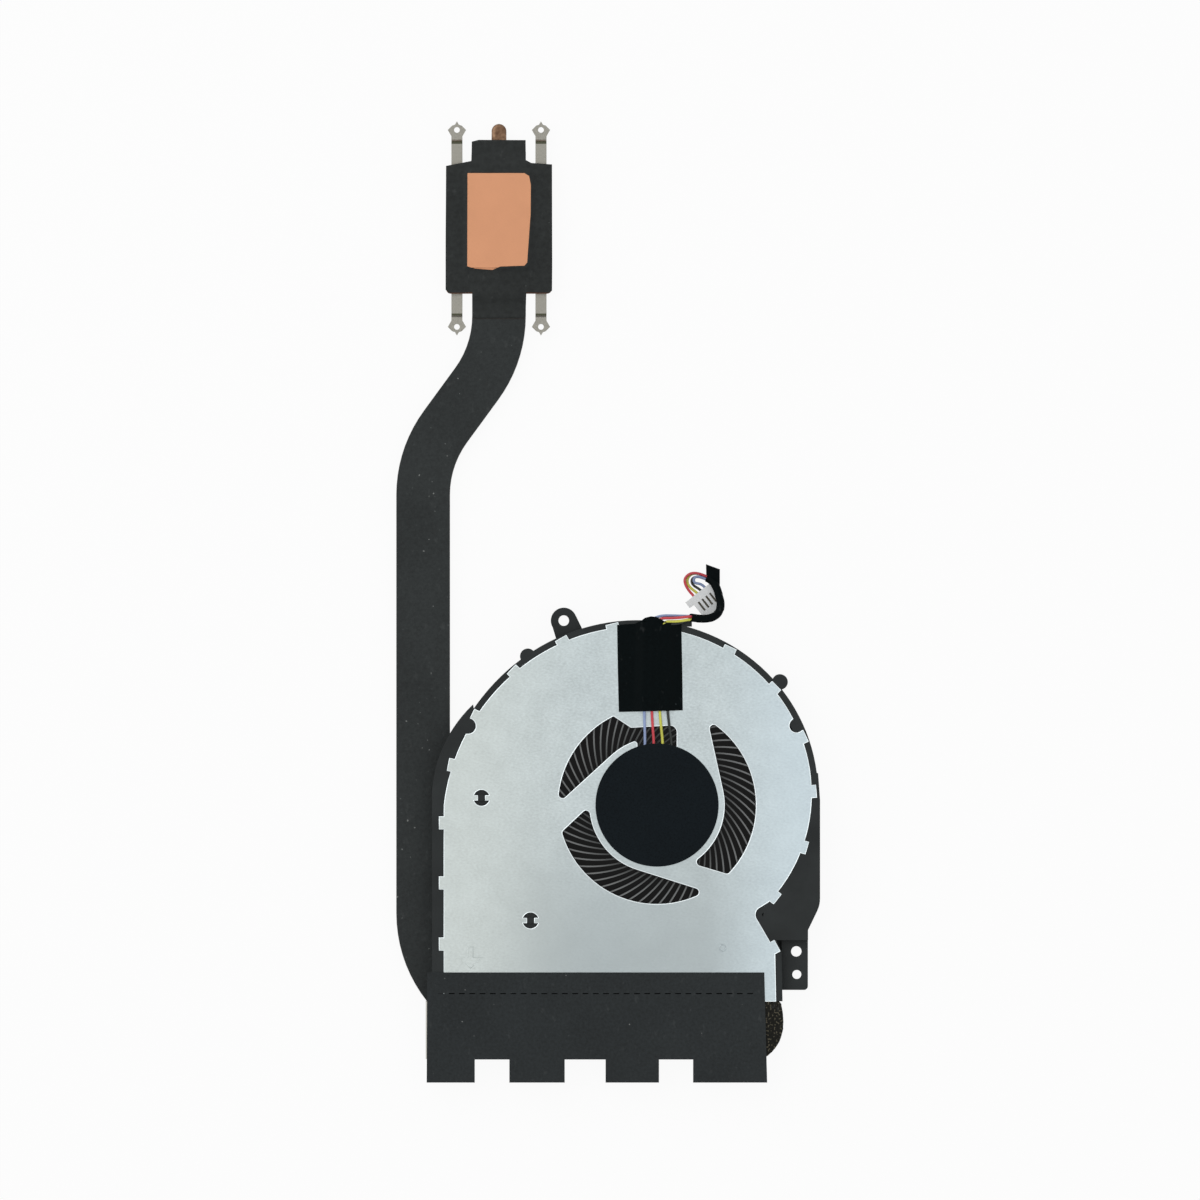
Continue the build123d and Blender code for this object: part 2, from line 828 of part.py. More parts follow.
# Heat pipe: flattened tube, pinched at the foot and drawn to a sealed stub at the head
with BuildLine(level(pipe_thickness / 2)) as pipe_axis:
    FilletPolyline(
        (head_x, pipe_top_y),
        (head_x, pipe_jog_top_y),
        (pipe_x, pipe_jog_bottom_y),
        (pipe_x, pipe_foot_y),
        (pipe_foot_end_x, pipe_foot_y),
        radius=pipe_bend_r,
    )
head_plane = Plane(origin=pipe_axis.line @ 0, x_dir=(1, 0, 0), z_dir=(0, 1, 0))
foot_plane = Plane(origin=pipe_axis.line @ 1, x_dir=(0, 1, 0), z_dir=(1, 0, 0))
with BuildPart() as heat_pipe:
    with BuildSketch(head_plane):
        SlotOverall(pipe_width, pipe_thickness)
    sweep(path=pipe_axis.line)
    with BuildSketch(head_plane):
        SlotOverall(pipe_width, pipe_thickness)
    with BuildSketch(head_plane.offset(shoulder_length)):
        SlotOverall(stub_width, stub_thickness)
    loft()
    with BuildSketch(head_plane.offset(shoulder_length)):
        SlotOverall(stub_width, stub_thickness)
    extrude(amount=stub_length - stub_width / 2)
    with BuildSketch(head_plane.offset(shoulder_length + stub_length - stub_width / 2)) as stub_section:
        SlotOverall(stub_width, stub_thickness)
        with Locations((stub_width / 2, 0)):
            Rectangle(stub_width, 2 * stub_thickness, mode=Mode.SUBTRACT)
    stub_end = head_plane.offset(shoulder_length + stub_length - stub_width / 2).origin
    revolve(axis=Axis(stub_end, (0, 0, 1)), revolution_arc=360)
    with BuildSketch(foot_plane):
        SlotOverall(pipe_width, pipe_thickness)
    with BuildSketch(foot_plane.offset(shoulder_length)):
        SlotOverall(seam_width, seam_thickness)
    loft()
write(heat_pipe, "heat_pipe")

# Black film along the top of the pipe, between the cold plate's tape and the fins
with BuildPart() as pipe_film:
    with BuildSketch(level(pipe_thickness)):
        add(pipe_line.line)
        trace(line_width=pipe_width - 2 * film_edge)
        with Locations((head_x, (tape_bottom_y + pipe_top_y) / 2)):
            Rectangle(2 * pipe_width, pipe_top_y - tape_bottom_y + 2 * film_start_gap, mode=Mode.SUBTRACT)
        with Locations(((fin_left_x + fin_right_x) / 2, outlet_y - fin_depth / 2)):
            Rectangle(fin_length + 2 * seat_gap, fin_depth + 2 * seat_gap, mode=Mode.SUBTRACT)
    extrude(amount=film)
    kept = pipe_film.part.solids().sort_by(SortBy.VOLUME)[-1]
    add(kept, mode=Mode.REPLACE)
write(pipe_film, "pipe_film")

# Fin stack: folded sheets whose flanges close the top and the bottom
fin_height = cover_top - pipe_thickness
fin_plane = Plane(
    origin=(shaft_x + (fin_left_x + fin_right_x) / 2, shaft_y + outlet_y, pipe_thickness + fin_height / 2),
    x_dir=(1, 0, 0),
    z_dir=(0, -1, 0),
)
fin_cells = round((fin_length - fin_sheet) / fin_pitch)
with BuildPart() as fin_stack:
    with BuildSketch(fin_plane):
        Rectangle(fin_length, fin_height)
        with GridLocations(fin_pitch, 1, fin_cells, 1):
            Rectangle(fin_pitch - fin_sheet, fin_height - 2 * fin_sheet, mode=Mode.SUBTRACT)
    extrude(amount=fin_depth)
write(fin_stack, "fin_stack")

# Film over the fins: notched along the bottom, with a perforated fold line
with BuildPart() as fin_film:
    with BuildSketch(level(cover_top)):
        Polygon(
            (fin_film_left_x, fin_film_top_y),
            (fin_film_left_x - 0.1, film_bottom_y),
            (fin_film_right_x + fin_film_lean, film_bottom_y),
            (fin_film_right_x, fin_film_top_y),
            align=None,
        )
        for slot_left, slot_right in slots_x:
            slot_depth = slot_tops_y - film_bottom_y
            with Locations(((slot_left + slot_right) / 2, slot_tops_y - slot_depth)):
                Rectangle(slot_right - slot_left, 2 * slot_depth, mode=Mode.SUBTRACT)
        dash_count = int((fin_film_right_x - fin_film_left_x) / dash_pitch) - 1
        with Locations(((fin_film_left_x + fin_film_right_x) / 2, fold_y)):
            with GridLocations(dash_pitch, 1, dash_count, 1):
                Rectangle(*dash_size, mode=Mode.SUBTRACT)
    extrude(amount=film)
write(fin_film, "fin_film")

# Foam strip at the right end of the fins
with BuildPart() as fin_foam:
    with BuildSketch(level(foam_bottom)):
        with BuildLine():
            foam_end_y = outlet_y - fin_depth + foam_short
            flank = Spline(
                (fin_right_x + foam_width, outlet_y - foam_round),
                (fin_right_x + foam_width - foam_lean, foam_end_y + foam_bend),
                (fin_right_x + foam_toe, foam_end_y),
            )
            Polyline(
                flank @ 1,
                (fin_right_x, foam_end_y),
                (fin_right_x, outlet_y),
                (fin_right_x + foam_width - foam_round, outlet_y),
                flank @ 0,
            )
        make_face()
    extrude(amount=cover_top - foam_bottom)
write(fin_foam, "fin_foam")

# Cold plate: copper plate on the pipe with a raised contact pad
plate_top = pipe_thickness + plate_thickness
with BuildPart() as cold_plate:
    with BuildSketch(level(pipe_thickness)):
        with Locations((head_x, (plate_top_y + plate_bottom_y) / 2)):
            RectangleRounded(plate_width, plate_top_y - plate_bottom_y, 1.0)
    extrude(amount=plate_thickness)
    with BuildSketch(level(plate_top)):
        with Locations((head_x, (pad_top_y + pad_bottom_y) / 2)):
            RectangleRounded(pad_width, pad_top_y - pad_bottom_y, 0.5)
    extrude(amount=pad_rise)
    with BuildSketch(level(pipe_thickness)):
        for height in rivet_heights:
            for side in (-1, 1):
                with Locations((head_x + side * spring_pitch_x / 2, height)):
                    Circle(rivet_r)
    extrude(amount=plate_thickness, mode=Mode.SUBTRACT)
write(cold_plate, "cold_plate")

# Spring strips: one on each side under the plate, with a folded, pointed head at each end
spring_top = pipe_thickness
spring_bottom = spring_top - spring_thickness
half_pitch = spring_pitch_y / 2


def spring_strip(x):
    """A spring strip on one side: its plan cut out of its folded sheet."""
    side_view = Plane(origin=(shaft_x + x - 3, shaft_y + spring_mid_y, 0), x_dir=(0, 1, 0), z_dir=(1, 0, 0))
    fold = half_pitch - spring_fold
    right_side = [(spring_width / 2, -head_throat), (head_half, 0), head_shoulder, tip_foot]
    left_side = [(-across, along) for across, along in reversed(right_side)]
    head = [*right_side, (0, spring_tip), *left_side]
    with BuildPart() as strip:
        with BuildSketch(side_view):
            with BuildLine():
                lower = Polyline(
                    (-half_pitch - 3, spring_bottom + spring_joggle),
                    (-fold - spring_joggle, spring_bottom + spring_joggle),
                    (-fold, spring_bottom),
                    (fold, spring_bottom),
                    (fold + spring_joggle, spring_bottom + spring_joggle),
                    (half_pitch + 3, spring_bottom + spring_joggle),
                )
                upper = Polyline(
                    (-half_pitch - 3, spring_top + spring_joggle),
                    (-fold - spring_joggle - 0.1, spring_top + spring_joggle),
                    (-fold - 0.1, spring_top),
                    (fold + 0.1, spring_top),
                    (fold + spring_joggle + 0.1, spring_top + spring_joggle),
                    (half_pitch + 3, spring_top + spring_joggle),
                )
                Line(lower @ 0, upper @ 0)
                Line(lower @ 1, upper @ 1)
            make_face()
        extrude(amount=6)
        with BuildSketch(level(0)):
            with Locations((x, spring_mid_y)):
                Rectangle(spring_width, spring_pitch_y)
                for end in (-1, 1):
                    Polygon(*[(across, end * (half_pitch + along)) for across, along in head], align=None)
            for end in (-1, 1):
                with Locations((x, spring_mid_y + end * half_pitch)):
                    Circle(screw_hole_r, mode=Mode.SUBTRACT)
            for height in rivet_heights:
                with Locations((x, height)):
                    Circle(rivet_r, mode=Mode.SUBTRACT)
        extrude(amount=case_height, mode=Mode.INTERSECT)
    return strip


write(spring_strip(head_x - spring_pitch_x / 2), "spring_left")
write(spring_strip(head_x + spring_pitch_x / 2), "spring_right")

with BuildPart() as spring_rivets:
    for height in rivet_heights:
        for side in (-1, 1):
            place = (head_x + side * spring_pitch_x / 2, height)
            with BuildSketch(level(spring_bottom - rivet_head)):
                with Locations(place):
                    Circle(rivet_head_r)
            extrude(amount=rivet_head)
            with BuildSketch(level(spring_bottom)):
                with Locations(place):
                    Circle(rivet_r)
            extrude(amount=plate_top - spring_bottom)
write(spring_rivets, "spring_rivets")

# Tape round the contact pad, stepping down onto the pipe at both ends
tape_side = Plane(origin=(shaft_x + head_x - 15, shaft_y, 0), x_dir=(0, 1, 0), z_dir=(1, 0, 0))
with BuildPart() as cold_plate_tape:
    with BuildSketch(tape_side):
        with BuildLine():
            lower = Polyline(
                (tape_bottom_y, pipe_thickness),
                (plate_bottom_y - 1.0, pipe_thickness),
                (plate_bottom_y - 0.2, plate_top),
                (plate_top_y + 0.2, plate_top),
                (plate_top_y + 1.0, pipe_thickness),
                (tape_top_y, pipe_thickness),
            )
            upper = Polyline(
                (tape_bottom_y, pipe_thickness + film),
                (plate_bottom_y - 1.1, pipe_thickness + film),
                (plate_bottom_y - 0.3, plate_top + film),
                (plate_top_y + 0.3, plate_top + film),
                (plate_top_y + 1.1, pipe_thickness + film),
                (tape_top_y, pipe_thickness + film),
            )
            Line(lower @ 0, upper @ 0)
            Line(lower @ 1, upper @ 1)
        make_face()
    extrude(amount=30)
    with BuildSketch(level(0)):
        with Locations((head_x, (tape_top_y + tape_bottom_y) / 2)):
            Rectangle(2 * tape_neck_half, tape_top_y - tape_bottom_y)
        with Locations((head_x, (plate_top_y + plate_bottom_y) / 2)):
            Rectangle(plate_width, plate_top_y - plate_bottom_y + 0.4)
        with Locations((head_x, (pad_top_y + pad_bottom_y) / 2)):
            Rectangle(pad_width + 0.2, pad_top_y - pad_bottom_y + 0.2, mode=Mode.SUBTRACT)
    extrude(amount=case_height, mode=Mode.INTERSECT)
write(cold_plate_tape, "cold_plate_tape")


def bundle_place(step, start_angle):
    """Where one wire of the bundle lies at a point of the wrap's route."""
    here = Vector(*wrap_route[step])
    forward = Vector(0, 0, 0)
    if step > 0:
        forward += (here - Vector(*wrap_route[step - 1])).normalized()
    if step < len(wrap_route) - 1:
        forward += (Vector(*wrap_route[step + 1]) - here).normalized()
    forward = forward.normalized()
    sideways = Vector(0, 0, 1).cross(forward).normalized()
    upwards = forward.cross(sideways)
    angle = radians(start_angle + wire_bundle_turn * step / (len(wrap_route) - 1))
    return here + sideways * (wire_bundle_r * cos(angle)) + upwards * (wire_bundle_r * sin(angle))


def plug_plane(height):
    """The plug's plan: x runs from its rear face to its mating end, y across its ways."""
    along = (cos(radians(plug_angle)), sin(radians(plug_angle)), 0)
    rear = (shaft_x + plug_place[0], shaft_y + plug_place[1], height)
    return Plane(origin=rear, x_dir=along, z_dir=(0, 0, 1))


def bent_line(points):
    """A route as straight runs with an arc at each corner, as large as the runs allow."""
    points = [Vector(*point) + Vector(shaft_x, shaft_y, 0) for point in points]
    radii = []
    for before, corner, after in zip(points, points[1:], points[2:]):
        first = corner - before
        second = after - corner
        half_turn = radians(first.get_angle(second)) / 2
        radii.append(wire_bend_share * min(first.length, second.length) / tan(max(half_turn, 0.01)))
    print("bend radii", [round(radius, 2) for radius in radii])
    with BuildLine() as line:
        FilletPolyline(*points, radius=radii)
    return line.line


def swept(line, radius):
    """A round section carried along a line."""
    with BuildPart() as piece:
        with BuildSketch(Plane(origin=line @ 0, z_dir=line % 0)):
            Circle(radius)
        sweep(path=line)
    return piece


def wire(start, start_angle, end, way):
    """One wire: from the motor board, through the wrap, to its way in the plug."""
    bundle = [bundle_place(step, start_angle) for step in range(len(wrap_route))]
    entry = plug_plane(plug_wire_z).from_local_coords((0, way * plug_pitch, 0)) - Vector(shaft_x, shaft_y, 0)
    inside = plug_plane(plug_wire_z).from_local_coords((plug_bore_depth, way * plug_pitch, 0))
    inside -= Vector(shaft_x, shaft_y, 0)
    return swept(bent_line([*start, *bundle, *end, entry, inside]), wire_d / 2)


# Wires from the motor board to the plug
write(wire(blue_start, 315, blue_end, 1.5), "wire_blue")
write(wire(red_start, 45, red_end, -1.5), "wire_red")
write(wire(yellow_start, 135, yellow_end, -0.5), "wire_yellow")
write(wire(black_start, 225, black_end, 0.5), "wire_black")

# Solder pads on the motor board, one at the start of each wire
with BuildPart() as solder_pads:
    with BuildSketch(level(board_bottom + board_thickness)):
        for start in (blue_start, red_start, yellow_start, black_start):
            with Locations((start[0][0], start[0][1] - pad_size[1] / 2)):
                Rectangle(*pad_size)
    extrude(amount=wire_d)
write(solder_pads, "solder_pads")

# Wrap round the wires, with the free end of its tape standing off as a flag
wrap_line = bent_line(wrap_route)
wrap_bore = swept(wrap_line, wrap_bore_r).part
wrap_whole = swept(wrap_line, wrap_r).part
with BuildPart() as harness_wrap:
    add(wrap_whole)
    with BuildSketch(level(flag_z - flag_thickness / 2)):
        Polygon(*flag_corners, align=None)
    extrude(amount=flag_thickness)
    add(wrap_bore, mode=Mode.SUBTRACT)
write(harness_wrap, "harness_wrap")

# Plug: a white housing with a wire hole, a slot and a mouth at each way, and a contact in each slot
plug_ways_y = [(way - (plug_ways - 1) / 2) * plug_pitch for way in range(plug_ways)]
with BuildPart() as connector_housing:
    with BuildSketch(plug_plane(0)) as plug_plan:
        with Locations((plug_depth / 2, 0)):
            Rectangle(plug_depth, plug_width)
        chamfer(plug_plan.vertices().group_by(Axis.X)[-1], plug_chamfer)
        with Locations((plug_ear[0] / 2, -plug_width / 2)):
            Rectangle(plug_ear[0], 2 * plug_ear[1])
    extrude(amount=plug_height)
    with BuildSketch(plug_plane(plug_floor)):
        with Locations(*[(plug_bore_depth + plug_slot_length / 2, way) for way in plug_ways_y]):
            Rectangle(plug_slot_length, plug_slot_width)
    extrude(amount=plug_height, mode=Mode.SUBTRACT)
    for way in plug_ways_y:
        rear = plug_plane(plug_wire_z).from_local_coords((0, way, 0))
        with BuildSketch(Plane(origin=rear, z_dir=plug_plane(0).x_dir)):
            Circle(plug_bore_r)
        extrude(amount=plug_bore_depth, mode=Mode.SUBTRACT)
    mouth_start = plug_bore_depth + plug_slot_length - 0.1
    with BuildSketch(plug_plane(plug_floor)):
        with Locations(*[((mouth_start + plug_depth) / 2, way) for way in plug_ways_y]):
            Rectangle(plug_depth - mouth_start, mouth_size[0])
    extrude(amount=mouth_size[1], mode=Mode.SUBTRACT)
write(connector_housing, "connector_housing")

with BuildPart() as connector_terminals:
    with BuildSketch(plug_plane(plug_floor)):
        with Locations(*[(plug_bore_depth + contact_length / 2, way) for way in plug_ways_y]):
            Rectangle(contact_length, contact_width)
    extrude(amount=contact_height)
write(connector_terminals, "connector_terminals")
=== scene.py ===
import math
from collections import namedtuple

import bmesh
import bpy
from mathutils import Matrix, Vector, noise


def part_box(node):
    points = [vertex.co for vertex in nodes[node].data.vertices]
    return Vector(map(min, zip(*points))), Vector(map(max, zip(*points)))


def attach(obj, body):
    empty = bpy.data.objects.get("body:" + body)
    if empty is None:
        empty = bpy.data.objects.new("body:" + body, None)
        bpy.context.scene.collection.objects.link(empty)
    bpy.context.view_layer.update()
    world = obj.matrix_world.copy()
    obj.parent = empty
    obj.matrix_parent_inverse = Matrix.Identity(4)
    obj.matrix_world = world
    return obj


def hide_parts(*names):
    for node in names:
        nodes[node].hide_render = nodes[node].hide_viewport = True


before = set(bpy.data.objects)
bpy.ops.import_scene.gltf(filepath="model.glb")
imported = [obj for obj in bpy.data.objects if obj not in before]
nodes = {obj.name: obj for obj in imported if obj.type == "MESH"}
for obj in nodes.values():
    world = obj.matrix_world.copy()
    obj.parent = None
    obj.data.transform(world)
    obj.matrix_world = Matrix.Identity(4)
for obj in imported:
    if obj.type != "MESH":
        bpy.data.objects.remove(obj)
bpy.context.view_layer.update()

# The blower's shaft in the row frame, in millimetres; plan points below are measured from it
SHAFT = Vector((10.2, -42.3, 0.0))


def row(x, y, z):
    """A point measured from the shaft in millimetres, as a row frame point in metres."""
    return (Vector((x, y, z)) + SHAFT) / 1000


# Camera: straight down from far away, at the photograph's framing in metres
PHOTO_WIDTH = 0.2496
PHOTO_MIDDLE = (-0.00166, 0.00034)
PHOTO_LEVEL = 0.005
LENS = 400.0
SENSOR = 36.0
camera_data = bpy.data.cameras.new("camera")
camera_data.lens = LENS
camera_data.sensor_width = SENSOR
camera_data.clip_start = 0.1
camera_data.clip_end = 30
camera = bpy.data.objects.new("camera", camera_data)
camera.location = (*PHOTO_MIDDLE, PHOTO_WIDTH * LENS / SENSOR + PHOTO_LEVEL)
bpy.context.scene.collection.objects.link(camera)
bpy.context.scene.camera = camera
bpy.context.scene.view_settings.view_transform = "Standard"

# Wires: one smooth line each through the same route as their solids. Routes and radii are in
# millimetres from the shaft; the thickness and the lengths are in metres.
WIRE_D = 0.00056
BUNDLE_R = 0.43
BUNDLE_TURN = 90.0
WRAP_ROUTE = (
    (6.9, 39.0, 6.72),
    (8.95, 38.7, 5.6),
    (11.2, 38.8, 4.5),
    (12.95, 39.9, 3.6),
    (13.35, 41.9, 2.9),
    (12.85, 43.8, 2.45),
    (12.4, 45.25, 2.15),
    (11.75, 46.5, 1.55),
    (10.5, 47.2, 0.9),
)
PLUG_REAR = Vector((8.84, 44.41, 0.85))
PLUG_ANGLE = math.radians(-52)
PLUG_BORE = 1.6
plug_along = Vector((math.cos(PLUG_ANGLE), math.sin(PLUG_ANGLE), 0))
plug_across = Vector((-math.sin(PLUG_ANGLE), math.cos(PLUG_ANGLE), 0))

# Each wire: its points before the wrap, its angle in the bundle in degrees, its points after the wrap,
# its way in the plug from the middle, and its length
Wire = namedtuple("Wire", "before angle after way length")
WIRES = {
    "blue": Wire(
        before=(
            (-2.5, 9.8, 5.58),
            (-2.5, 13.0, 5.58),
            (-2.55, 16.1, 6.33),
            (-2.75, 22.5, 6.31),
            (-2.5, 31.0, 6.3),
            (-2.3, 39.5, 6.3),
        ),
        angle=315,
        after=(
            (8.7, 47.6, 1.2),
            (7.65, 47.3, 1.15),
            (7.7, 46.15, 1.1),
            (9.0, 46.05, 0.9),
        ),
        way=1.5,
        length=0.0618,
    ),
    "red": Wire(
        before=(
            (-0.6, 9.8, 5.58),
            (-0.65, 13.0, 5.58),
            (-0.9, 16.1, 6.33),
            (-1.25, 22.5, 6.31),
            (-1.1, 31.0, 6.3),
            (-0.7, 38.85, 6.3),
            (4.0, 38.85, 7.1),
        ),
        angle=45,
        after=(
            (8.4, 48.3, 1.2),
            (6.8, 48.2, 1.2),
            (5.7, 47.1, 1.2),
            (5.9, 45.8, 1.1),
            (6.7, 44.5, 0.85),
        ),
        way=-1.5,
        length=0.0641,
    ),
    "yellow": Wire(
        before=(
            (1.25, 9.8, 5.58),
            (1.2, 13.0, 5.58),
            (0.85, 16.1, 6.33),
            (0.3, 22.5, 6.31),
            (0.3, 31.0, 6.3),
            (0.65, 38.25, 6.3),
            (4.4, 38.15, 6.95),
        ),
        angle=135,
        after=(
            (8.3, 48.3, 0.52),
            (6.8, 47.9, 0.52),
            (6.2, 46.6, 0.52),
            (6.75, 45.3, 0.7),
        ),
        way=-0.5,
        length=0.0625,
    ),
    "black": Wire(
        before=(
            (3.1, 9.8, 5.58),
            (3.05, 13.0, 5.58),
            (2.55, 16.1, 6.33),
            (1.95, 22.5, 6.31),
            (1.75, 31.0, 6.3),
            (2.1, 37.7, 6.3),
            (4.6, 37.68, 6.3),
        ),
        angle=225,
        after=(
            (8.5, 47.6, 0.52),
            (7.2, 47.1, 0.52),
            (7.3, 45.8, 0.65),
        ),
        way=0.5,
        length=0.0573,
    ),
}


def bundle_place(step, start_angle):
    """Where one wire of the bundle lies at a point of the wrap's route."""
    here = Vector(WRAP_ROUTE[step])
    forward = Vector((0, 0, 0))
    if step > 0:
        forward += (here - Vector(WRAP_ROUTE[step - 1])).normalized()
    if step < len(WRAP_ROUTE) - 1:
        forward += (Vector(WRAP_ROUTE[step + 1]) - here).normalized()
    forward.normalize()
    sideways = Vector((0, 0, 1)).cross(forward).normalized()
    upwards = forward.cross(sideways)
    angle = math.radians(start_angle + BUNDLE_TURN * step / (len(WRAP_ROUTE) - 1))
    return here + sideways * BUNDLE_R * math.cos(angle) + upwards * BUNDLE_R * math.sin(angle)


def smooth_line(name, points):
    """A curve object whose NURBS line has the route's points as its control points."""
    curve = bpy.data.curves.new(name, "CURVE")
    curve.dimensions = "3D"
    spline = curve.splines.new("NURBS")
    spline.points.add(len(points) - 1)
    for target, point in zip(spline.points, points):
        target.co = (*row(*point), 1.0)
    spline.order_u = 3
    spline.use_endpoint_u = True
    spline.resolution_u = 10
    made = bpy.data.objects.new(name, curve)
    bpy.context.scene.collection.objects.link(made)
    return made


wire_lines = {}
for colour, plan in WIRES.items():
    entry = PLUG_REAR + plug_across * plan.way
    inside = entry + plug_along * PLUG_BORE
    bundle = [bundle_place(step, plan.angle) for step in range(len(WRAP_ROUTE))]
    route = [*plan.before, *bundle, *plan.after, entry, inside]
    wire = smooth_line("wire_" + colour + "_line", route)
    wire.data.bevel_depth = WIRE_D / 2
    wire.data.bevel_resolution = 4
    wire.data.use_fill_caps = True
    wire_lines[colour] = wire
    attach(wire, "module")
    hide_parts("wire_" + colour)

# Materials: a short way to write node trees


def three(colour):
    """A colour as three numbers, from a colour or one grey value."""
    return tuple(colour)[:3] if hasattr(colour, "__len__") else (colour,) * 3


def rgb(red, green, blue):
    """A colour on the 0 to 255 screen scale, as the linear values that shaders take."""
    shares = (red / 255, green / 255, blue / 255)
    return tuple(((c + 0.055) / 1.055) ** 2.4 if c > 0.04 else c / 12.92 for c in shares)


def scaled(colour, factor):
    """A colour made darker or lighter by one factor."""
    return tuple(min(c * factor, 1.0) for c in colour)


# The colour sockets of a mix node, by number
MIX_FIRST = 6
MIX_SECOND = 7
MIX_RESULT = 2


class Look:
    """A material under construction; each method adds one node and returns its output."""

    def __init__(self, name):
        self.material = bpy.data.materials.new(name)
        self.material.use_nodes = True
        self.tree = self.material.node_tree
        self.shader = self.tree.nodes["Principled BSDF"]
        self.place = self.node("ShaderNodeTexCoord").outputs["Object"]

    def node(self, kind, **settings):
        """A new node with its settings."""
        made = self.tree.nodes.new(kind)
        for name, value in settings.items():
            setattr(made, name, value)
        return made

    def link(self, source, target):
        """Joins an output to an input, or gives the input a plain value."""
        if isinstance(source, bpy.types.NodeSocket):
            self.tree.links.new(source, target)
        else:
            target.default_value = source

    def stretched(self, scale, turn=0.0):
        """The object's coordinates, turned about Z and stretched."""
        mapping = self.node("ShaderNodeMapping")
        self.link(self.place, mapping.inputs["Vector"])
        mapping.inputs["Scale"].default_value = scale
        mapping.inputs["Rotation"].default_value = (0, 0, turn)
        return mapping.outputs["Vector"]

    def along(self, axis):
        """One object coordinate in metres: 0 for x, 1 for y, 2 for z."""
        parts = self.node("ShaderNodeSeparateXYZ")
        self.link(self.place, parts.inputs[0])
        return parts.outputs[axis]

    def facing(self, axis):
        """One component of the surface's direction."""
        parts = self.node("ShaderNodeSeparateXYZ")
        self.link(self.node("ShaderNodeNewGeometry").outputs["Normal"], parts.inputs[0])
        return parts.outputs[axis]

    def noise(self, size_mm, detail=3.0, rough=0.55, place=None):
        """Cloudy noise from 0 to 1 with spots of about one size."""
        made = self.node("ShaderNodeTexNoise")
        self.link(place or self.place, made.inputs["Vector"])
        made.inputs["Scale"].default_value = 1000 / size_mm
        made.inputs["Detail"].default_value = detail
        made.inputs["Roughness"].default_value = rough
        return made.outputs["Fac"]

    def fade(self, value, start, end):
        """A smooth step from 0 at start to 1 at end."""
        made = self.node("ShaderNodeMapRange", interpolation_type="SMOOTHSTEP")
        self.link(value, made.inputs["Value"])
        made.inputs["From Min"].default_value = start
        made.inputs["From Max"].default_value = end
        return made.outputs["Result"]

    def slope(self, axis, start, end):
        """A smooth step along one object coordinate, between two places in metres."""
        return self.fade(self.along(axis), start, end)

    def sway(self, value, low, high):
        """A tone or number that follows noise from low to high."""
        return self.ramp(value, (0.3, low), (0.7, high))

    def ramp(self, value, *stops):
        """Colours or greys at places along a value from 0 to 1."""
        made = self.node("ShaderNodeValToRGB")
        self.link(value, made.inputs["Fac"])
        elements = made.color_ramp.elements
        while len(elements) < len(stops):
            elements.new(1.0)
        for element, (place, colour) in zip(elements, stops):
            element.position = place
            element.color = (*three(colour), 1.0)
        return made.outputs["Color"]

    def mix(self, share, first, second):
        """The first colour, or as much of the second as the share says."""
        made = self.node("ShaderNodeMix", data_type="RGBA")
        self.link(share, made.inputs[0])
        for value, number in ((first, MIX_FIRST), (second, MIX_SECOND)):
            is_linked = isinstance(value, bpy.types.NodeSocket)
            self.link(value if is_linked else (*three(value), 1.0), made.inputs[number])
        return made.outputs[MIX_RESULT]

    def math(self, operation, first, second):
        """One step of arithmetic on two numbers."""
        made = self.node("ShaderNodeMath", operation=operation)
        self.link(first, made.inputs[0])
        self.link(second, made.inputs[1])
        return made.outputs[0]

    def bevel(self, radius_mm):
        """Edges that catch the light as if slightly rounded."""
        made = self.node("ShaderNodeBevel", samples=4)
        made.inputs["Radius"].default_value = radius_mm / 1000
        return made.outputs["Normal"]

    def bump(self, height, depth_mm, strength, under=None):
        """A surface direction roughened by a height."""
        made = self.node("ShaderNodeBump")
        self.link(height, made.inputs["Height"])
        made.inputs["Distance"].default_value = depth_mm / 1000
        made.inputs["Strength"].default_value = strength
        if under is not None:
            self.link(under, made.inputs["Normal"])
        return made.outputs["Normal"]

    def finish(self, colour, roughness, metallic=0.0, specular=0.5, normal=None):
        """Fills in the shader and returns the material."""
        is_linked = isinstance(colour, bpy.types.NodeSocket)
        self.link(colour if is_linked else (*three(colour), 1.0), self.shader.inputs["Base Color"])
        self.link(roughness, self.shader.inputs["Roughness"])
        self.link(metallic, self.shader.inputs["Metallic"])
        self.link(specular, self.shader.inputs["Specular IOR Level"])
        if normal is not None:
            self.link(normal, self.shader.inputs["Normal"])
        return self.material


def moulded(name, colour, roughness=(0.42, 0.58), specular=0.25, edge_mm=0.12):
    """Moulded plastic with a fine spark-eroded grain and faintly worn tone."""
    look = Look(name)
    grain = look.noise(0.3, 4.0)
    tone = look.noise(9.0, 3.0)
    return look.finish(
        look.sway(tone, scaled(colour, 0.75), scaled(colour, 1.3)),
        look.sway(grain, *roughness),
        specular=specular,
        normal=look.bump(grain, 0.02, 0.6, look.bevel(edge_mm)),
    )


def metal(name, colour, roughness=(0.3, 0.45), stretch=(1, 12, 1), spread=0.1):
    """Bare metal with a fine grain drawn out along one direction."""
    look = Look(name)
    lines = look.noise(0.4, 4.0, place=look.stretched(stretch))
    clouds = look.noise(6.0, 3.0)
    both = look.math("MULTIPLY", look.math("ADD", lines, clouds), 0.5)
    return look.finish(
        look.ramp(both, (0.38, scaled(colour, 1 - spread)), (0.62, scaled(colour, 1 + spread))),
        look.sway(lines, *roughness),
        metallic=1.0,
        normal=look.bump(lines, 0.004, 0.5, look.bevel(0.08)),
    )


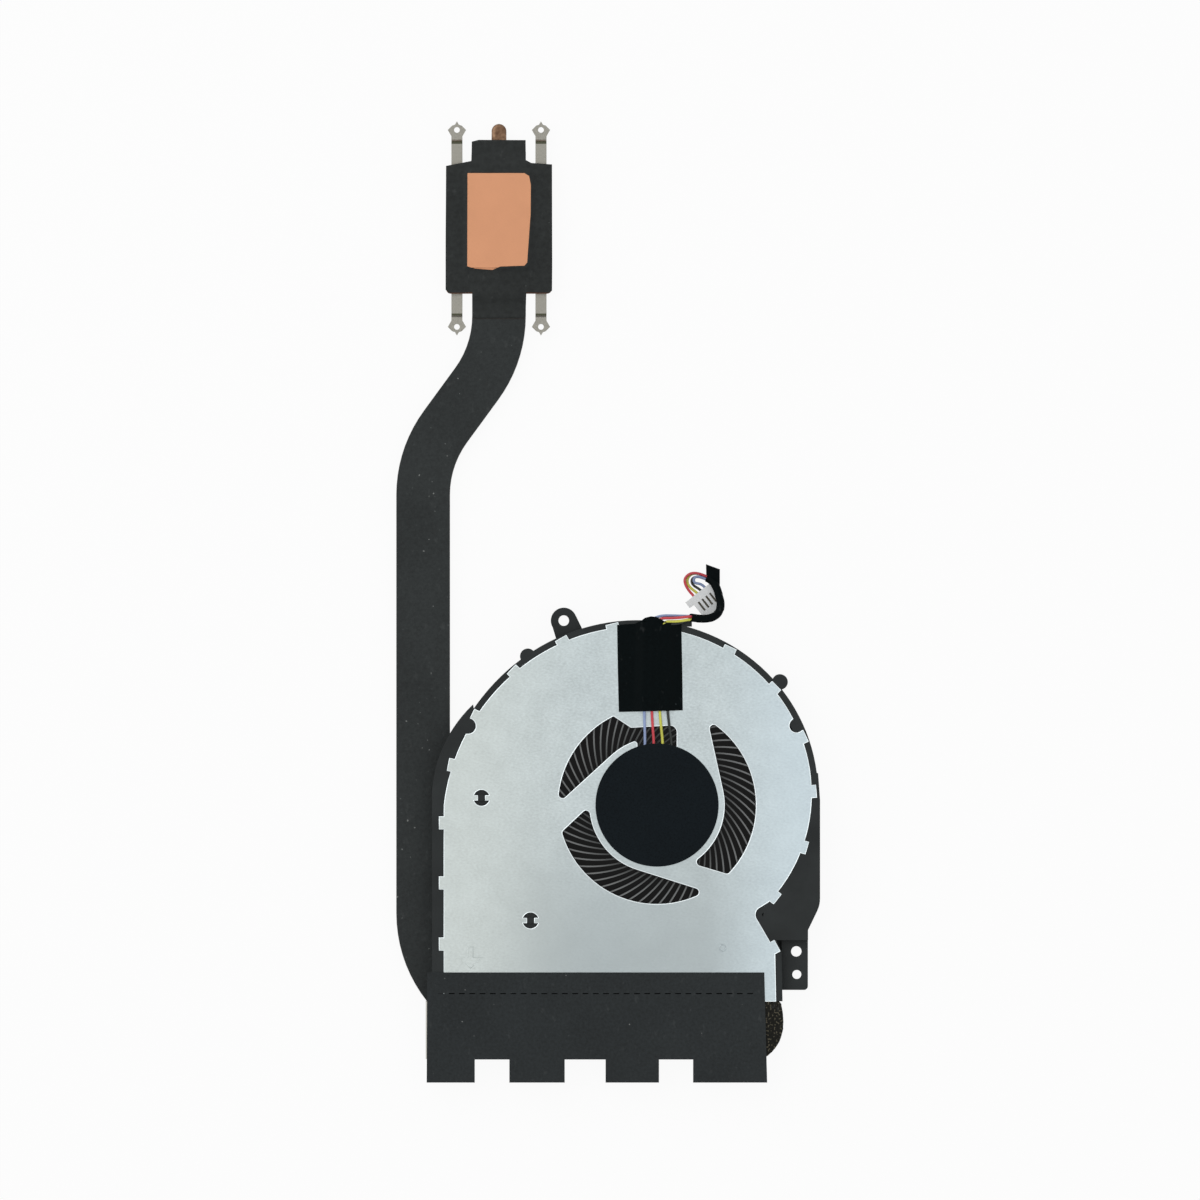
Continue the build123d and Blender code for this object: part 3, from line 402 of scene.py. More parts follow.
def dark_sheet(
    name,
    colour,
    roughness,
    specular,
    weave_mm,
    speck=None,
    speck_share=0.87,
    speck_mm=0.6,
    wear=0.09,
):
    """Black film or tape: a mottled matt surface, worn in places, with a few pale specks of dust."""
    look = Look(name)
    mottle = look.noise(weave_mm, 5.0, 0.7)
    tone = look.noise(16.0, 3.0)
    base = look.mix(
        0.5,
        look.sway(mottle, scaled(colour, 0.35), scaled(colour, 1.75)),
        look.ramp(tone, (0.35, scaled(colour, 0.8)), (0.65, scaled(colour, 1.2))),
    )
    scuffs = look.noise(3.0, 3.0, 0.6, look.stretched((1.8, 1, 1), 0.5))
    base = look.mix(look.ramp(scuffs, (0.62, 0.0), (0.78, wear)), base, rgb(128, 132, 132))
    if speck is not None:
        dust = look.ramp(look.noise(speck_mm, 0.0), (speck_share, 0.0), (speck_share + 0.04, 1.0))
        base = look.mix(dust, base, speck)
    return look.finish(
        base,
        look.sway(mottle, *roughness),
        specular=specular,
        normal=look.bump(mottle, 0.02, 0.4),
    )


# The cover's sheet: galvanised steel with a fine mottled grain, with painted shade that darkens it
# towards the outlet's middle, a painted warm reflection tint on the left and a painted cool one on the
# right, and painted black shade under the fin film's edge. Each pair is where a tone begins and where
# it is full, in metres.
SHADE_DOWN = (-0.036, -0.075)
SHADE_LEFT = (-0.031, -0.012)
SHADE_RIGHT = (0.036, 0.018)
# Painted reflection tints: warmer towards the left, cooler towards the right
WARM_REFLECTION_TINT = (0.0, -0.034)
COOL_REFLECTION_TINT = (0.018, 0.042)
# Painted shade: black on the cover under the fin film's edge
FILM_EDGE_SHADE_DOWN = (-0.0780, -0.0784)
FILM_EDGE_SHADE_RIGHT = (0.0324, 0.0320)
look = Look("zinc_sheet")
fine = look.noise(0.6, 4.0, 0.65, look.stretched((1, 1.6, 1), 0.4))
spangle = look.noise(5.0, 3.0)
wide = look.noise(28.0, 1.0)
grain = look.math("ADD", look.math("MULTIPLY", fine, 0.7), look.math("MULTIPLY", spangle, 0.3))
zinc = rgb(180, 189, 190)
base = look.ramp(grain, (0.36, scaled(zinc, 0.84)), (0.64, scaled(zinc, 1.13)))
# Painted shade: the sheet darker towards the outlet's middle
painted_shade = look.math("MULTIPLY", look.slope(1, *SHADE_DOWN), look.slope(0, *SHADE_LEFT))
painted_shade = look.math("MULTIPLY", painted_shade, look.slope(0, *SHADE_RIGHT))
# Painted shade under the fin film's edge
film_edge_shade = look.math("MULTIPLY", look.slope(1, *FILM_EDGE_SHADE_DOWN), look.slope(0, *FILM_EDGE_SHADE_RIGHT))
# Laid on in turn: painted shade, a painted warm reflection tint, a bluish tone that varies at random, a
# painted cool reflection tint and painted black shade under the film's edge
for mask, share, tone in (
    (painted_shade, 0.75, scaled(zinc, 0.7)),
    (look.slope(0, *WARM_REFLECTION_TINT), 0.35, rgb(200, 203, 194)),
    (wide, 0.12, rgb(184, 198, 206)),
    (look.slope(0, *COOL_REFLECTION_TINT), 0.45, rgb(194, 210, 219)),
    (film_edge_shade, 1.0, 0.0),
):
    base = look.mix(look.math("MULTIPLY", mask, share), base, tone)
sheet_look = look.finish(
    base,
    look.sway(fine, 0.36, 0.5),
    metallic=1.0,
    normal=look.bump(fine, 0.004, 0.5, look.bevel(0.15)),
)
# Painted highlight: a bright metal for a thin bead along the cover's cut edges
edge_highlight_look = metal("painted_edge_highlight", rgb(232, 240, 242), roughness=(0.25, 0.35), spread=0.06)

# The impeller: black, with a painted highlight that turns the blade tips grey, more so away from the
# shaft
HIGHLIGHT_RISE = (0.00488, 0.00509)
HIGHLIGHT_OUTWARD = (0.0135, 0.0205)
look = Look("impeller_plastic")
grain = look.noise(0.3, 4.0)
rise = look.slope(2, *HIGHLIGHT_RISE)
upward = look.fade(look.facing(2), 0.6, 0.95)
# Painted highlight: the upward faces at the blades' tops turn grey
tip_highlight = look.math("MULTIPLY", rise, upward)
from_shaft = look.node("ShaderNodeVectorMath", operation="DISTANCE")
look.link(look.place, from_shaft.inputs[0])
from_shaft.inputs[1].default_value = row(0, 0, 5)
highlight_outward = look.fade(from_shaft.outputs["Value"], *HIGHLIGHT_OUTWARD)
impeller_look = look.finish(
    look.mix(tip_highlight, (0.010, 0.0105, 0.0105), look.mix(highlight_outward, rgb(62, 64, 64), rgb(120, 122, 122))),
    look.sway(grain, 0.34, 0.46),
    specular=0.3,
    normal=look.bump(grain, 0.015, 0.5, look.bevel(0.06)),
)

# The heat pipe: film folded down its sides, bare copper underneath and on the stub
FOLDED_DOWN_TO = (0.00055, 0.0007)
STUB_FROM = 0.0945
look = Look("pipe_copper")
tarnish = look.noise(2.2, 4.0, 0.6)
lines = look.noise(0.35, 3.0, place=look.stretched((6, 1, 1)))
copper = look.ramp(tarnish, (0.3, rgb(84, 62, 48)), (0.5, rgb(122, 96, 76)), (0.75, rgb(170, 138, 112)))
upper = look.slope(2, *FOLDED_DOWN_TO)
before_stub = look.math("LESS_THAN", look.along(1), STUB_FROM)
covered = look.math("MULTIPLY", upper, before_stub)
folded_film = look.ramp(lines, (0.35, (0.018, 0.017, 0.016)), (0.65, (0.032, 0.028, 0.025)))
pipe_look = look.finish(
    look.mix(covered, copper, folded_film),
    look.sway(tarnish, 0.5, 0.38),
    metallic=look.math("SUBTRACT", 1.0, covered),
    specular=0.2,
    normal=look.bump(lines, 0.006, 0.5, look.bevel(0.15)),
)

# The fins: folded sheet
look = Look("fin_metal")
lines = look.noise(0.25, 3.0, place=look.stretched((8, 1, 1)))
fin_look = look.finish(
    look.ramp(lines, (0.35, rgb(168, 166, 160)), (0.65, rgb(200, 198, 192))),
    look.sway(lines, 0.3, 0.42),
    metallic=1.0,
    normal=look.bump(lines, 0.004, 0.5),
)

# The case, and the black films and tapes
film_dust = rgb(120, 122, 120)
case_look = moulded("case_plastic", (0.019, 0.022, 0.0225), specular=0.18)
film_look = dark_sheet(
    "pipe_film", (0.0245, 0.028, 0.0282), (0.5, 0.7), 0.15, 0.6, film_dust, speck_share=0.86
)
fin_film_look = dark_sheet("fin_film", (0.0192, 0.0228, 0.024), (0.5, 0.7), 0.15, 0.6, film_dust)
tape_look = dark_sheet("black_tape", (0.0018, 0.0034, 0.0038), (0.4, 0.55), 0.03, 0.6, rgb(60, 66, 68))
head_tape_look = dark_sheet(
    "head_tape", (0.0195, 0.022, 0.0215), (0.4, 0.6), 0.14, 1.1, rgb(88, 92, 92), speck_share=0.85
)
label_look = dark_sheet("label_film", (0.0045, 0.0075, 0.0098), (0.25, 0.32), 0.06, 0.4, wear=0.0)
foam_look = dark_sheet(
    "foam",
    (0.014, 0.0138, 0.0118),
    (0.85, 0.95),
    0.05,
    0.45,
    rgb(84, 80, 68),
    speck_share=0.62,
    speck_mm=0.42,
    wear=0.4,
)

# The springs: bright strip with painted shade as dark bands at the folds. Each fold's band has a place
# and half a width, in metres.
FOLD_SHADES = ((0.0956, 0.00028), (0.0598, 0.0002))
look = Look("spring_steel")
lines = look.noise(0.4, 4.0, place=look.stretched((6, 1, 1)))
fold_shade_bands = []
for place, half_width in FOLD_SHADES:
    fold_shade_band = look.math("COMPARE", look.along(1), place)
    fold_shade_band.node.inputs[2].default_value = half_width
    fold_shade_bands.append(fold_shade_band)
fold_shade = look.math("MAXIMUM", *fold_shade_bands)
steel = rgb(144, 142, 134)
strip = look.ramp(lines, (0.35, scaled(steel, 0.86)), (0.65, scaled(steel, 1.12)))
steel_look = look.finish(
    # Painted shade: dark, non-metallic bands at the folds
    look.mix(fold_shade, strip, rgb(62, 64, 40)),
    look.sway(lines, 0.3, 0.45),
    metallic=look.math("SUBTRACT", 1.0, fold_shade),
    normal=look.bump(lines, 0.004, 0.5, look.bevel(0.12)),
)

# The contact plate: brushed copper, with painted shade darkening its lower edge
PLATE_EDGE_SHADE = (0.06455, 0.06445)
look = Look("plate_copper")
lines = look.noise(0.5, 4.0, place=look.stretched((1, 9, 1)))
clouds = look.noise(9.0, 3.0)
brushed = look.math("MULTIPLY", look.math("ADD", lines, clouds), 0.5)
plate_tone = rgb(194, 140, 107)
plate = look.ramp(brushed, (0.38, scaled(plate_tone, 0.95)), (0.62, scaled(plate_tone, 1.05)))
plate_copper = look.finish(
    # Painted shade along the plate's lower edge
    look.mix(look.slope(1, *PLATE_EDGE_SHADE), plate, rgb(80, 56, 44)),
    look.sway(lines, 0.32, 0.46),
    metallic=1.0,
    normal=look.bump(lines, 0.004, 0.5, look.bevel(0.1)),
)

# The motor, the bearing, the plug and the wires
rotor_steel = metal("rotor_steel", rgb(150, 150, 152))
brass_look = metal("machined_brass", rgb(205, 178, 110))
winding_look = metal("winding", rgb(190, 98, 50), stretch=(12, 1, 12))
core_look = metal("core_steel", rgb(110, 112, 116), stretch=(1, 1, 20))
magnet_look = moulded("magnet", (0.03, 0.03, 0.032), roughness=(0.5, 0.6))
board_look = moulded("board", rgb(24, 66, 40), roughness=(0.3, 0.4))
chip_look = moulded("chip", (0.01, 0.01, 0.011))
solder_look = metal("solder", rgb(200, 200, 198), roughness=(0.15, 0.25), stretch=(1, 1, 1))
bronze_look = metal("sintered_bronze", rgb(150, 120, 78), stretch=(1, 1, 1), roughness=(0.4, 0.6))
pad_look = moulded("thrust_plastic", rgb(215, 210, 190))
plug_look = moulded("plug_white", rgb(232, 237, 239), roughness=(0.3, 0.42), specular=0.4)
contact_look = metal("contact_metal", rgb(84, 80, 70))
wire_colours = {
    "blue": rgb(136, 152, 188),
    "red": rgb(200, 68, 78),
    "yellow": rgb(208, 208, 88),
    "black": rgb(34, 38, 36),
}

node_looks = {
    "fan_housing": case_look,
    "cover_plate": sheet_look,
    "impeller": impeller_look,
    "rotor_yoke": rotor_steel,
    "magnet_ring": magnet_look,
    "shaft": rotor_steel,
    "bearing_holder": brass_look,
    "bearing_sleeve": bronze_look,
    "retaining_washer": pad_look,
    "thrust_pad": pad_look,
    "stator_core": core_look,
    "stator_coils": winding_look,
    "motor_board": board_look,
    "driver_chip": chip_look,
    "solder_pads": solder_look,
    "motor_label": label_look,
    "wire_tape": tape_look,
    "heat_pipe": pipe_look,
    "pipe_film": film_look,
    "fin_stack": fin_look,
    "fin_film": fin_film_look,
    "fin_foam": foam_look,
    "cold_plate": plate_copper,
    "spring_left": steel_look,
    "spring_right": steel_look,
    "spring_rivets": steel_look,
    "cold_plate_tape": head_tape_look,
    "harness_wrap": tape_look,
    "connector_housing": plug_look,
    "connector_terminals": contact_look,
}
for name, look in node_looks.items():
    nodes[name].data.materials.clear()
    nodes[name].data.materials.append(look)
for colour, wire in wire_lines.items():
    name = "wire_" + colour
    look = moulded(name, wire_colours[colour], roughness=(0.28, 0.36), specular=0.35, edge_mm=0.02)
    wire.data.materials.append(look)

# Pieces: meshes in metres from points measured from the shaft in millimetres


def new_piece(name, data, look, replaces=None):
    """A mesh or curve that rides on the module and takes the given finish; the part it replaces is
    hidden.
    """
    data.materials.clear()
    data.materials.append(look)
    made = bpy.data.objects.new(name, data)
    bpy.context.scene.collection.objects.link(made)
    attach(made, "module")
    if replaces:
        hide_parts(replaces)
    return made


def flat_sheet(name, outline, holes, step, height, thickness, look, replaces=None):
    """A thin sheet cut to an outline, whose underside follows a height function; in millimetres."""
    shape = bmesh.new()
    for loop in (outline, *holes):
        corners = [shape.verts.new((x, y, 0)) for x, y in loop]
        for first, second in zip(corners, corners[1:] + corners[:1]):
            shape.edges.new((first, second))
    bmesh.ops.triangle_fill(shape, edges=shape.edges[:], use_beauty=True)
    for axis, direction in enumerate((Vector((1, 0, 0)), Vector((0, 1, 0)))):
        low = min(point[axis] for point in outline)
        high = max(point[axis] for point in outline)
        for cut in range(1, int((high - low) / step) + 1):
            everything = shape.verts[:] + shape.edges[:] + shape.faces[:]
            middle = direction * (low + cut * step)
            bmesh.ops.bisect_plane(shape, geom=everything, plane_co=middle, plane_no=direction)
    for vertex in shape.verts:
        vertex.co = row(vertex.co.x, vertex.co.y, height(vertex.co.x, vertex.co.y))
    bmesh.ops.recalc_face_normals(shape, faces=shape.faces[:])
    if sum(face.normal.z for face in shape.faces) < 0:
        bmesh.ops.reverse_faces(shape, faces=shape.faces[:])
    for face in shape.faces:
        face.smooth = True
    mesh = bpy.data.meshes.new(name)
    shape.to_mesh(mesh)
    shape.free()
    made = new_piece(name, mesh, look, replaces=replaces)
    thick = made.modifiers.new("thickness", "SOLIDIFY")
    thick.thickness = thickness / 1000
    thick.offset = 1.0
    return made


def ripple(x, y, size, depth, seed):
    """A small smooth height at one place, the same on every run."""
    return depth * noise.noise(Vector((x / size, y / size, seed)))


def smooth_step(value, start, end):
    """0 before start, 1 after end, and a smooth rise between."""
    share = min(max((value - start) / (end - start), 0.0), 1.0)
    return share * share * (3 - 2 * share)


# Tape over the wires: skewed a little, lying over each wire and down on the cover between them
TAPE_THICKNESS = 0.08
WIRE_TAPE_STEP = 0.35
ON_COVER = 6.02
OVER_WIRES = 0.61
UNDER_TAPE = slice(2, 6)
WIRE_TAPE = (
    (-8.3, 37.45),
    (-4.6, 37.7),
    (-3.4, 38.25),
    (-2.5, 38.95),
    (-1.3, 39.25),
    (-0.2, 39.15),
    (0.7, 38.75),
    (1.5, 38.25),
    (2.3, 37.95),
    (5.05, 37.9),
    (5.25, 28.0),
    (5.35, 19.7),
    (-7.95, 19.35),
    (-8.15, 28.0),
)


def wire_across(colour, y):
    """Where a wire runs under the tape at one height in the plan."""
    points = WIRES[colour].before[UNDER_TAPE]
    for (x0, y0, _), (x1, y1, _) in zip(points, points[1:]):
        if y <= y1:
            return x0 + (x1 - x0) * (y - y0) / (y1 - y0)
    return points[-1][0]


def wire_tape_height(x, y):
    """The tape's underside: the cover's top, stretched over the wires and lapped over their bends."""
    places = [wire_across(colour, y) for colour in WIRES]
    beyond = max(min(places) - x, x - max(places), 0.0)
    gap = min(abs(x - place) for place in places)
    over_wires = OVER_WIRES * (1 - smooth_step(beyond, 0.35, 2.2)) - 0.04 * smooth_step(gap, 0.3, 0.7)
    over_bends = 0.45 * smooth_step(y, 37.9, 38.5) * smooth_step(x, -1.0, 1.7)
    past_rim = 0.4 * smooth_step(y, 39.5, 39.95)
    creases = abs(ripple(x, y, 2.4, 0.05, 3.0))
    return ON_COVER + over_wires + over_bends - past_rim + creases


flat_sheet(
    "wire_tape_piece",
    WIRE_TAPE,
    (),
    WIRE_TAPE_STEP,
    wire_tape_height,
    TAPE_THICKNESS,
    tape_look,
    "wire_tape",
)

# Tape round the contact pad, with the hand-cut outline and window that the photograph shows
HEAD_TAPE_STEP = 0.45
ON_PIPE = 2.01
PLATE_RISE = 1.0
PAD_RISE = 0.5
HEAD_X = -32.9
HEAD_TAPE = (
    (-38.55, 138.1),
    (-37.1, 138.45),
    (-27.35, 138.4),
    (-27.3, 134.2),
    (-26.2, 133.6),
    (-21.85, 133.3),
    (-21.8, 112.0),
    (-21.85, 107.0),
    (-22.5, 106.6),
    (-27.2, 106.65),
    (-27.35, 101.9),
    (-27.8, 101.35),
    (-38.3, 101.3),
    (-38.45, 106.7),
    (-40.0, 106.6),
    (-43.4, 106.6),
    (-44.0, 107.2),
    (-44.0, 117.0),
    (-43.9, 133.0),
    (-41.0, 133.55),
    (-38.65, 134.0),
)
HEAD_WINDOW = (
    (-39.45, 131.5),
    (-27.6, 131.5),
    (-26.6, 130.9),
    (-26.25, 129.0),
    (-26.3, 123.0),
    (-27.0, 112.9),
    (-27.6, 112.2),
    (-32.6, 112.05),
    (-34.2, 111.35),
    (-37.9, 111.6),
    (-39.5, 112.1),
)


def head_tape_height(x, y):
    """The underside: on the pipe at both ends, over the plate, and up onto the pad at the window."""
    over_plate = smooth_step(y, 103.9, 106.3) * (1 - smooth_step(y, 133.1, 135.9))
    over_pad = min(
        smooth_step(abs(x - HEAD_X), 7.15, 6.75),
        smooth_step(y, 111.35, 111.75),
        1 - smooth_step(y, 131.65, 132.05),
    )
    wing = smooth_step(abs(x - HEAD_X), 5.7, 6.4) * (1 - over_plate)
    creases = abs(ripple(x, y, 3.1, 0.09, 7.0)) + abs(ripple(x, y, 0.9, 0.03, 2.0))
    return ON_PIPE + PLATE_RISE * max(over_plate, wing) + PAD_RISE * over_pad + creases


flat_sheet(
    "head_tape_piece",
    HEAD_TAPE,
    (HEAD_WINDOW,),
    HEAD_TAPE_STEP,
    head_tape_height,
    TAPE_THICKNESS,
    head_tape_look,
    "cold_plate_tape",
)

# Two webs of the case under the cover's edge, beside the tongue and beside the bracket
WEB_STEP = 0.45
TONGUE_WEB = ((21.2, -22.2), (22.8, -22.2), (22.8, -23.6), (21.2, -23.6))
THROAT_WEB = ((24.4, -27.7), (26.5, -27.7), (26.5, -30.9), (25.6, -30.9))


def level_at(height):
    """A height function that is the same everywhere."""
    return lambda x, y: height


for name, outline, height, thickness in (
    ("tongue_web", TONGUE_WEB, 5.0, 0.3),
    ("throat_web", THROAT_WEB, 2.2, 0.4),
):
    flat_sheet(name, outline, (), WEB_STEP, level_at(height), thickness, case_look)


# Wrap round the wires: tape wound in a helix along the bundle's smooth line
WRAP_R = 0.8
WRAP_PITCH = 3.1
WRAP_STEP = 0.12
WRAP_LAP = 0.07
WRAP_WALL = 0.1
WRAP_LOWEST = 0.05
AROUND = 32


def line_points(made):
    """The points along a curve's own smooth line, in metres."""
    mesh = bpy.data.meshes.new_from_object(made)
    points = [vertex.co.copy() for vertex in mesh.vertices]
    bpy.data.meshes.remove(mesh)
    return points


def evenly(points, step):
    """Points at even steps along a line."""
    even = [points[0]]
    wanted = step
    walked = 0.0
    for first, second in zip(points, points[1:]):
        run = (second - first).length
        while run > 0 and walked + run >= wanted:
            even.append(first.lerp(second, (wanted - walked) / run))
            wanted += step
        walked += run
    return even


guide = smooth_line("wrap_guide", WRAP_ROUTE)
spine = evenly(line_points(guide), WRAP_STEP / 1000)
bpy.data.objects.remove(guide)
shape = bmesh.new()
rings = []
for step, point in enumerate(spine):
    before = spine[max(step - 1, 0)]
    after = spine[min(step + 1, len(spine) - 1)]
    forward = (after - before).normalized()
    sideways = Vector((0, 0, 1)).cross(forward).normalized()
    upwards = forward.cross(sideways)
    ring = []
    for spoke in range(AROUND):
        angle = 2 * math.pi * spoke / AROUND
        turn = (step * WRAP_STEP / WRAP_PITCH + spoke / AROUND) % 1.0
        radius = WRAP_R + WRAP_LAP * smooth_step(turn, 0.0, 0.06) * (1 - 0.8 * turn)
        radius += ripple(math.cos(angle) * 2, step * WRAP_STEP, 1.0, 0.03, math.sin(angle) * 2)
        place = point + (sideways * math.cos(angle) + upwards * math.sin(angle)) * radius / 1000
        place.z = max(place.z, WRAP_LOWEST / 1000)
        ring.append(shape.verts.new(place))
    rings.append(ring)
for first, second in zip(rings, rings[1:]):
    for spoke in range(AROUND):
        following = (spoke + 1) % AROUND
        face = shape.faces.new((first[spoke], first[following], second[following], second[spoke]))
        face.smooth = True
bmesh.ops.recalc_face_normals(shape, faces=shape.faces[:])
wrap_mesh = bpy.data.meshes.new("wrap_piece")
shape.to_mesh(wrap_mesh)
shape.free()
wrap_piece = new_piece("wrap_piece", wrap_mesh, tape_look, replaces="harness_wrap")
wall = wrap_piece.modifiers.new("wall", "SOLIDIFY")
wall.thickness = WRAP_WALL / 1000
wall.offset = -1.0

# The wrap's free end, standing off as a curled flag
FLAG = (
    (12.35, 45.1),
    (11.6, 46.5),
    (10.25, 47.9),
    (10.2, 50.1),
    (13.1, 49.05),
    (13.1, 46.0),
    (12.95, 44.9),
)
FLAG_STEP = 0.3
FLAG_THICKNESS = 0.1


def flag_height(x, y):
    """The flag's underside rises away from the wrap."""
    return 1.72 + 0.35 * smooth_step(y, 46.5, 50.2) + ripple(x, y, 2.5, 0.12, 5.0)


flag_piece = flat_sheet(
    "flag_piece", FLAG, (), FLAG_STEP, flag_height, FLAG_THICKNESS, tape_look
)

# Foam at the fins' end: open cells, slightly crushed, in place of its plain solid
FOAM_SQUASH = 0.87
FOAM_CELL = 0.00018
FOAM_DENT = 0.00026
CELLS_PER_METRE = 2600
LUMPS_PER_METRE = 700
foam_mesh = nodes["fin_foam"].data.copy()
foam = new_piece("foam_piece", foam_mesh, foam_look, replaces="fin_foam")
mesher = foam.modifiers.new("cells", "REMESH")
mesher.mode = "VOXEL"
mesher.voxel_size = FOAM_CELL
graph = bpy.context.evaluated_depsgraph_get()
cells = bpy.data.meshes.new_from_object(foam.evaluated_get(graph))
foam.modifiers.clear()
foam.data = cells
low, high = (Vector(corner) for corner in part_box("fin_foam"))
middle = (low + high) / 2
half = (high - low) / 2
for vertex in cells.vertices:
    vertex.co.x = low.x + (vertex.co.x - low.x) * FOAM_SQUASH
    away = Vector([out / size for out, size in zip(vertex.co - middle, half)])
    dent = 0.5 + 0.5 * noise.noise(vertex.co * CELLS_PER_METRE)
    dent += 0.35 * noise.noise(vertex.co * LUMPS_PER_METRE)
    vertex.co -= away.normalized() * FOAM_DENT * max(dent, 0.0)
for polygon in cells.polygons:
    polygon.use_smooth = True
cells.materials.clear()
cells.materials.append(foam_look)


def line_on_cover(name, loops, radius, look):
    """Closed lines of one thickness, each through its own points in metres."""
    curve = bpy.data.curves.new(name, "CURVE")
    curve.dimensions = "3D"
    for loop in loops:
        spline = curve.splines.new("POLY")
        spline.points.add(len(loop) - 1)
        for target, place in zip(spline.points, loop):
            target.co = (*place, 1.0)
        spline.use_cyclic_u = True
    curve.bevel_depth = radius
    curve.bevel_resolution = 2
    new_piece(name, curve, look)


# Painted highlight along the cover's cut edges: a thin bead of bright metal, seen as a thin light line
HIGHLIGHT_BEAD_R = 0.0001
HIGHLIGHT_BEAD_DROP = Vector((0, 0, HIGHLIGHT_BEAD_R * 0.7))
SAME_LEVEL = 2e-5
SAME_PLACE = 1e-6
shape = bmesh.new()
shape.from_mesh(nodes["cover_plate"].data)
bmesh.ops.remove_doubles(shape, verts=shape.verts[:], dist=SAME_PLACE)
top = max(vertex.co.z for vertex in shape.verts)


def is_rim(edge):
    """Says whether an edge is where the cover's flat top meets a cut side."""
    on_top = all(abs(vertex.co.z - top) < SAME_LEVEL for vertex in edge.verts)
    upward = [face.normal.z for face in edge.link_faces]
    return on_top and len(upward) == 2 and min(upward) < 0.5 < max(upward)


rim_edges = [edge for edge in shape.edges if is_rim(edge)]
following = {}
for edge in rim_edges:
    first, second = edge.verts
    following.setdefault(first.index, []).append(second)
    following.setdefault(second.index, []).append(first)
rims = []
unused = {vertex.index: vertex for edge in rim_edges for vertex in edge.verts}
while unused:
    vertex = next(iter(unused.values()))
    loop = []
    while vertex is not None:
        unused.pop(vertex.index, None)
        loop.append(vertex.co - HIGHLIGHT_BEAD_DROP)
        vertex = next((near for near in following[vertex.index] if near.index in unused), None)
    if len(loop) > 2:
        rims.append(loop)
shape.free()
line_on_cover("cover_edge_highlight", rims, HIGHLIGHT_BEAD_R, edge_highlight_look)

# An arrow and a small ring pressed into the cover, as raised outlines
ARROW = (
    (-39.4, -29.5),
    (-38.25, -29.5),
    (-38.25, -31.7),
    (-36.4, -31.7),
    (-38.75, -33.9),
    (-41.1, -31.7),
    (-39.4, -31.7),
)
RING_PLACE = (13.6, -29.7)
RING_R = 0.65
RING_POINTS = 24
MARK_TOP = 6.0
MARK_R = 0.00011


def circle(points, radius, middle=(0.0, 0.0)):
    """Points at even turns round a middle in the plan."""
    x, y = middle
    turns = [2 * math.pi * point / points for point in range(points)]
    return [(x + radius * math.cos(turn), y + radius * math.sin(turn)) for turn in turns]


ring = circle(RING_POINTS, RING_R, RING_PLACE)
marks = [[row(x, y, MARK_TOP) for x, y in mark] for mark in (ARROW, ring)]
line_on_cover("cover_arrow", marks, MARK_R, sheet_look)

# Floor: white, with the deep shadow that lies under the blower's lower inlet as a patch of its own
PAPER_SHARE = 0.8
FLOOR_HALF = 3.0
FLOOR_LEVEL = -0.0001
SHADE_R = 28.0
SHADE_CORNERS = 96
SHADE_LEVEL = -0.00005


def floor_look(name, tone, seen_share):
    """A matt sheet that shows its own tone to the camera and in reflections."""
    look = Look(name)
    look.tree.nodes.remove(look.shader)
    paper = look.node("ShaderNodeBsdfDiffuse")
    paper.inputs["Color"].default_value = (*three(tone * PAPER_SHARE), 1.0)
    glow = look.node("ShaderNodeEmission")
    glow.inputs["Color"].default_value = (*three(tone), 1.0)
    rays = look.node("ShaderNodeLightPath")
    seen = look.math("MAXIMUM", rays.outputs["Is Camera Ray"], rays.outputs["Is Glossy Ray"])
    seen = look.math("MAXIMUM", seen, rays.outputs["Is Transmission Ray"])
    blend = look.node("ShaderNodeMixShader")
    look.link(look.math("MULTIPLY", seen, seen_share), blend.inputs["Fac"])
    look.link(paper.outputs[0], blend.inputs[1])
    look.link(glow.outputs[0], blend.inputs[2])
    look.link(blend.outputs[0], look.tree.nodes["Material Output"].inputs["Surface"])
    return look.material


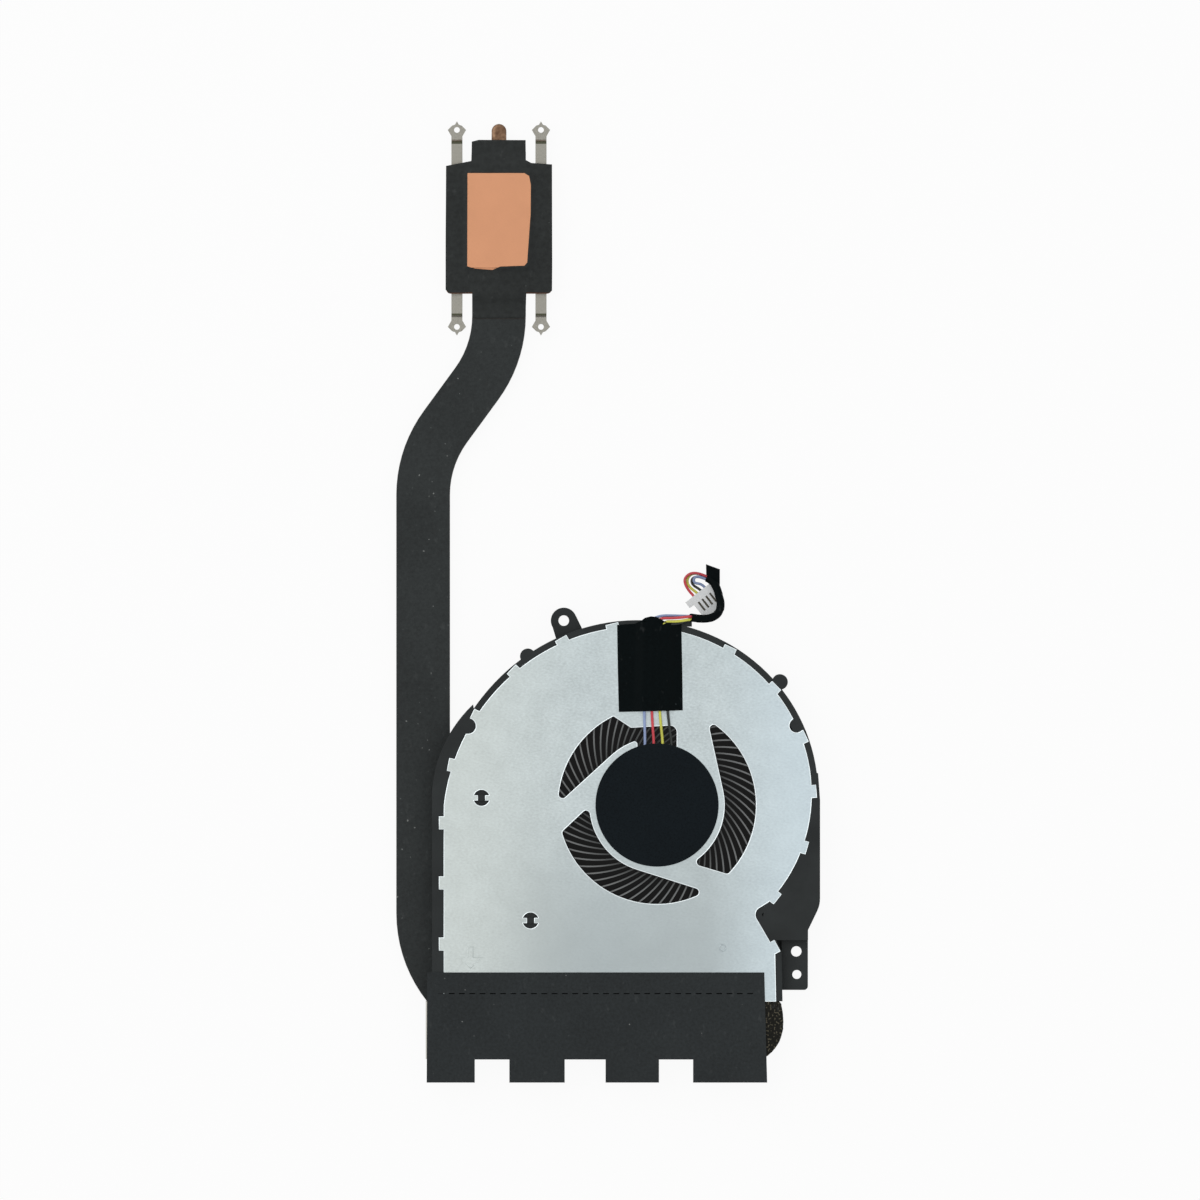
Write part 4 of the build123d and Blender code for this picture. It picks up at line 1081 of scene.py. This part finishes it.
def floor_piece(name, corners, level, look):
    """A flat stage piece that faces up, from its corners in metres."""
    mesh = bpy.data.meshes.new(name)
    mesh.from_pydata([(x, y, 0) for x, y in corners], [], [range(len(corners))])
    mesh.materials.append(look)
    made = bpy.data.objects.new(name, mesh)
    made.location.z = level
    bpy.context.scene.collection.objects.link(made)


square = [
    (-FLOOR_HALF, -FLOOR_HALF),
    (FLOOR_HALF, -FLOOR_HALF),
    (FLOOR_HALF, FLOOR_HALF),
    (-FLOOR_HALF, FLOOR_HALF),
]
disc = [row(x, y, 0).xy for x, y in circle(SHADE_CORNERS, SHADE_R)]
floor_piece("floor", square, FLOOR_LEVEL, floor_look("floor", 1.0, 0.93))
floor_piece("floor_shade", disc, SHADE_LEVEL, floor_look("floor_shade", 0.011, 1.0))

# Light: a white room, with a softer glow for what the camera doesn't see directly, and two wide lamps
ROOM_LIGHT = 0.5
LAMP_SIZE = 1.6
world = bpy.data.worlds.new("studio")
world.use_nodes = True
bpy.context.scene.world = world
tree = world.node_tree
background = tree.nodes["Background"]
background.inputs["Color"].default_value = (1, 1, 1, 1)
rays = tree.nodes.new("ShaderNodeLightPath")
strength = tree.nodes.new("ShaderNodeMath")
strength.operation = "MULTIPLY_ADD"
strength.inputs[1].default_value = 1.0 - ROOM_LIGHT
strength.inputs[2].default_value = ROOM_LIGHT
seen = tree.nodes.new("ShaderNodeMath")
seen.operation = "MAXIMUM"
tree.links.new(rays.outputs["Is Camera Ray"], seen.inputs[0])
tree.links.new(rays.outputs["Is Glossy Ray"], seen.inputs[1])
tree.links.new(seen.outputs[0], strength.inputs[0])
tree.links.new(strength.outputs[0], background.inputs["Strength"])


def lamp(name, place, size, power):
    """A square lamp that faces the origin."""
    data = bpy.data.lights.new(name, "AREA")
    data.size = size
    data.energy = power
    made = bpy.data.objects.new(name, data)
    made.location = place
    made.rotation_mode = "QUATERNION"
    made.rotation_quaternion = (-Vector(place)).to_track_quat("-Z", "Y")
    bpy.context.scene.collection.objects.link(made)


lamp("key", (-0.7, 0.6, 0.8), LAMP_SIZE, 8.2)
lamp("fill", (0.9, -0.5, 0.9), LAMP_SIZE, 3.7)

# A bevelled curve's box is measured right only once the object has been updated twice
bpy.context.view_layer.update()
for wire in wire_lines.values():
    wire.hide_render = False
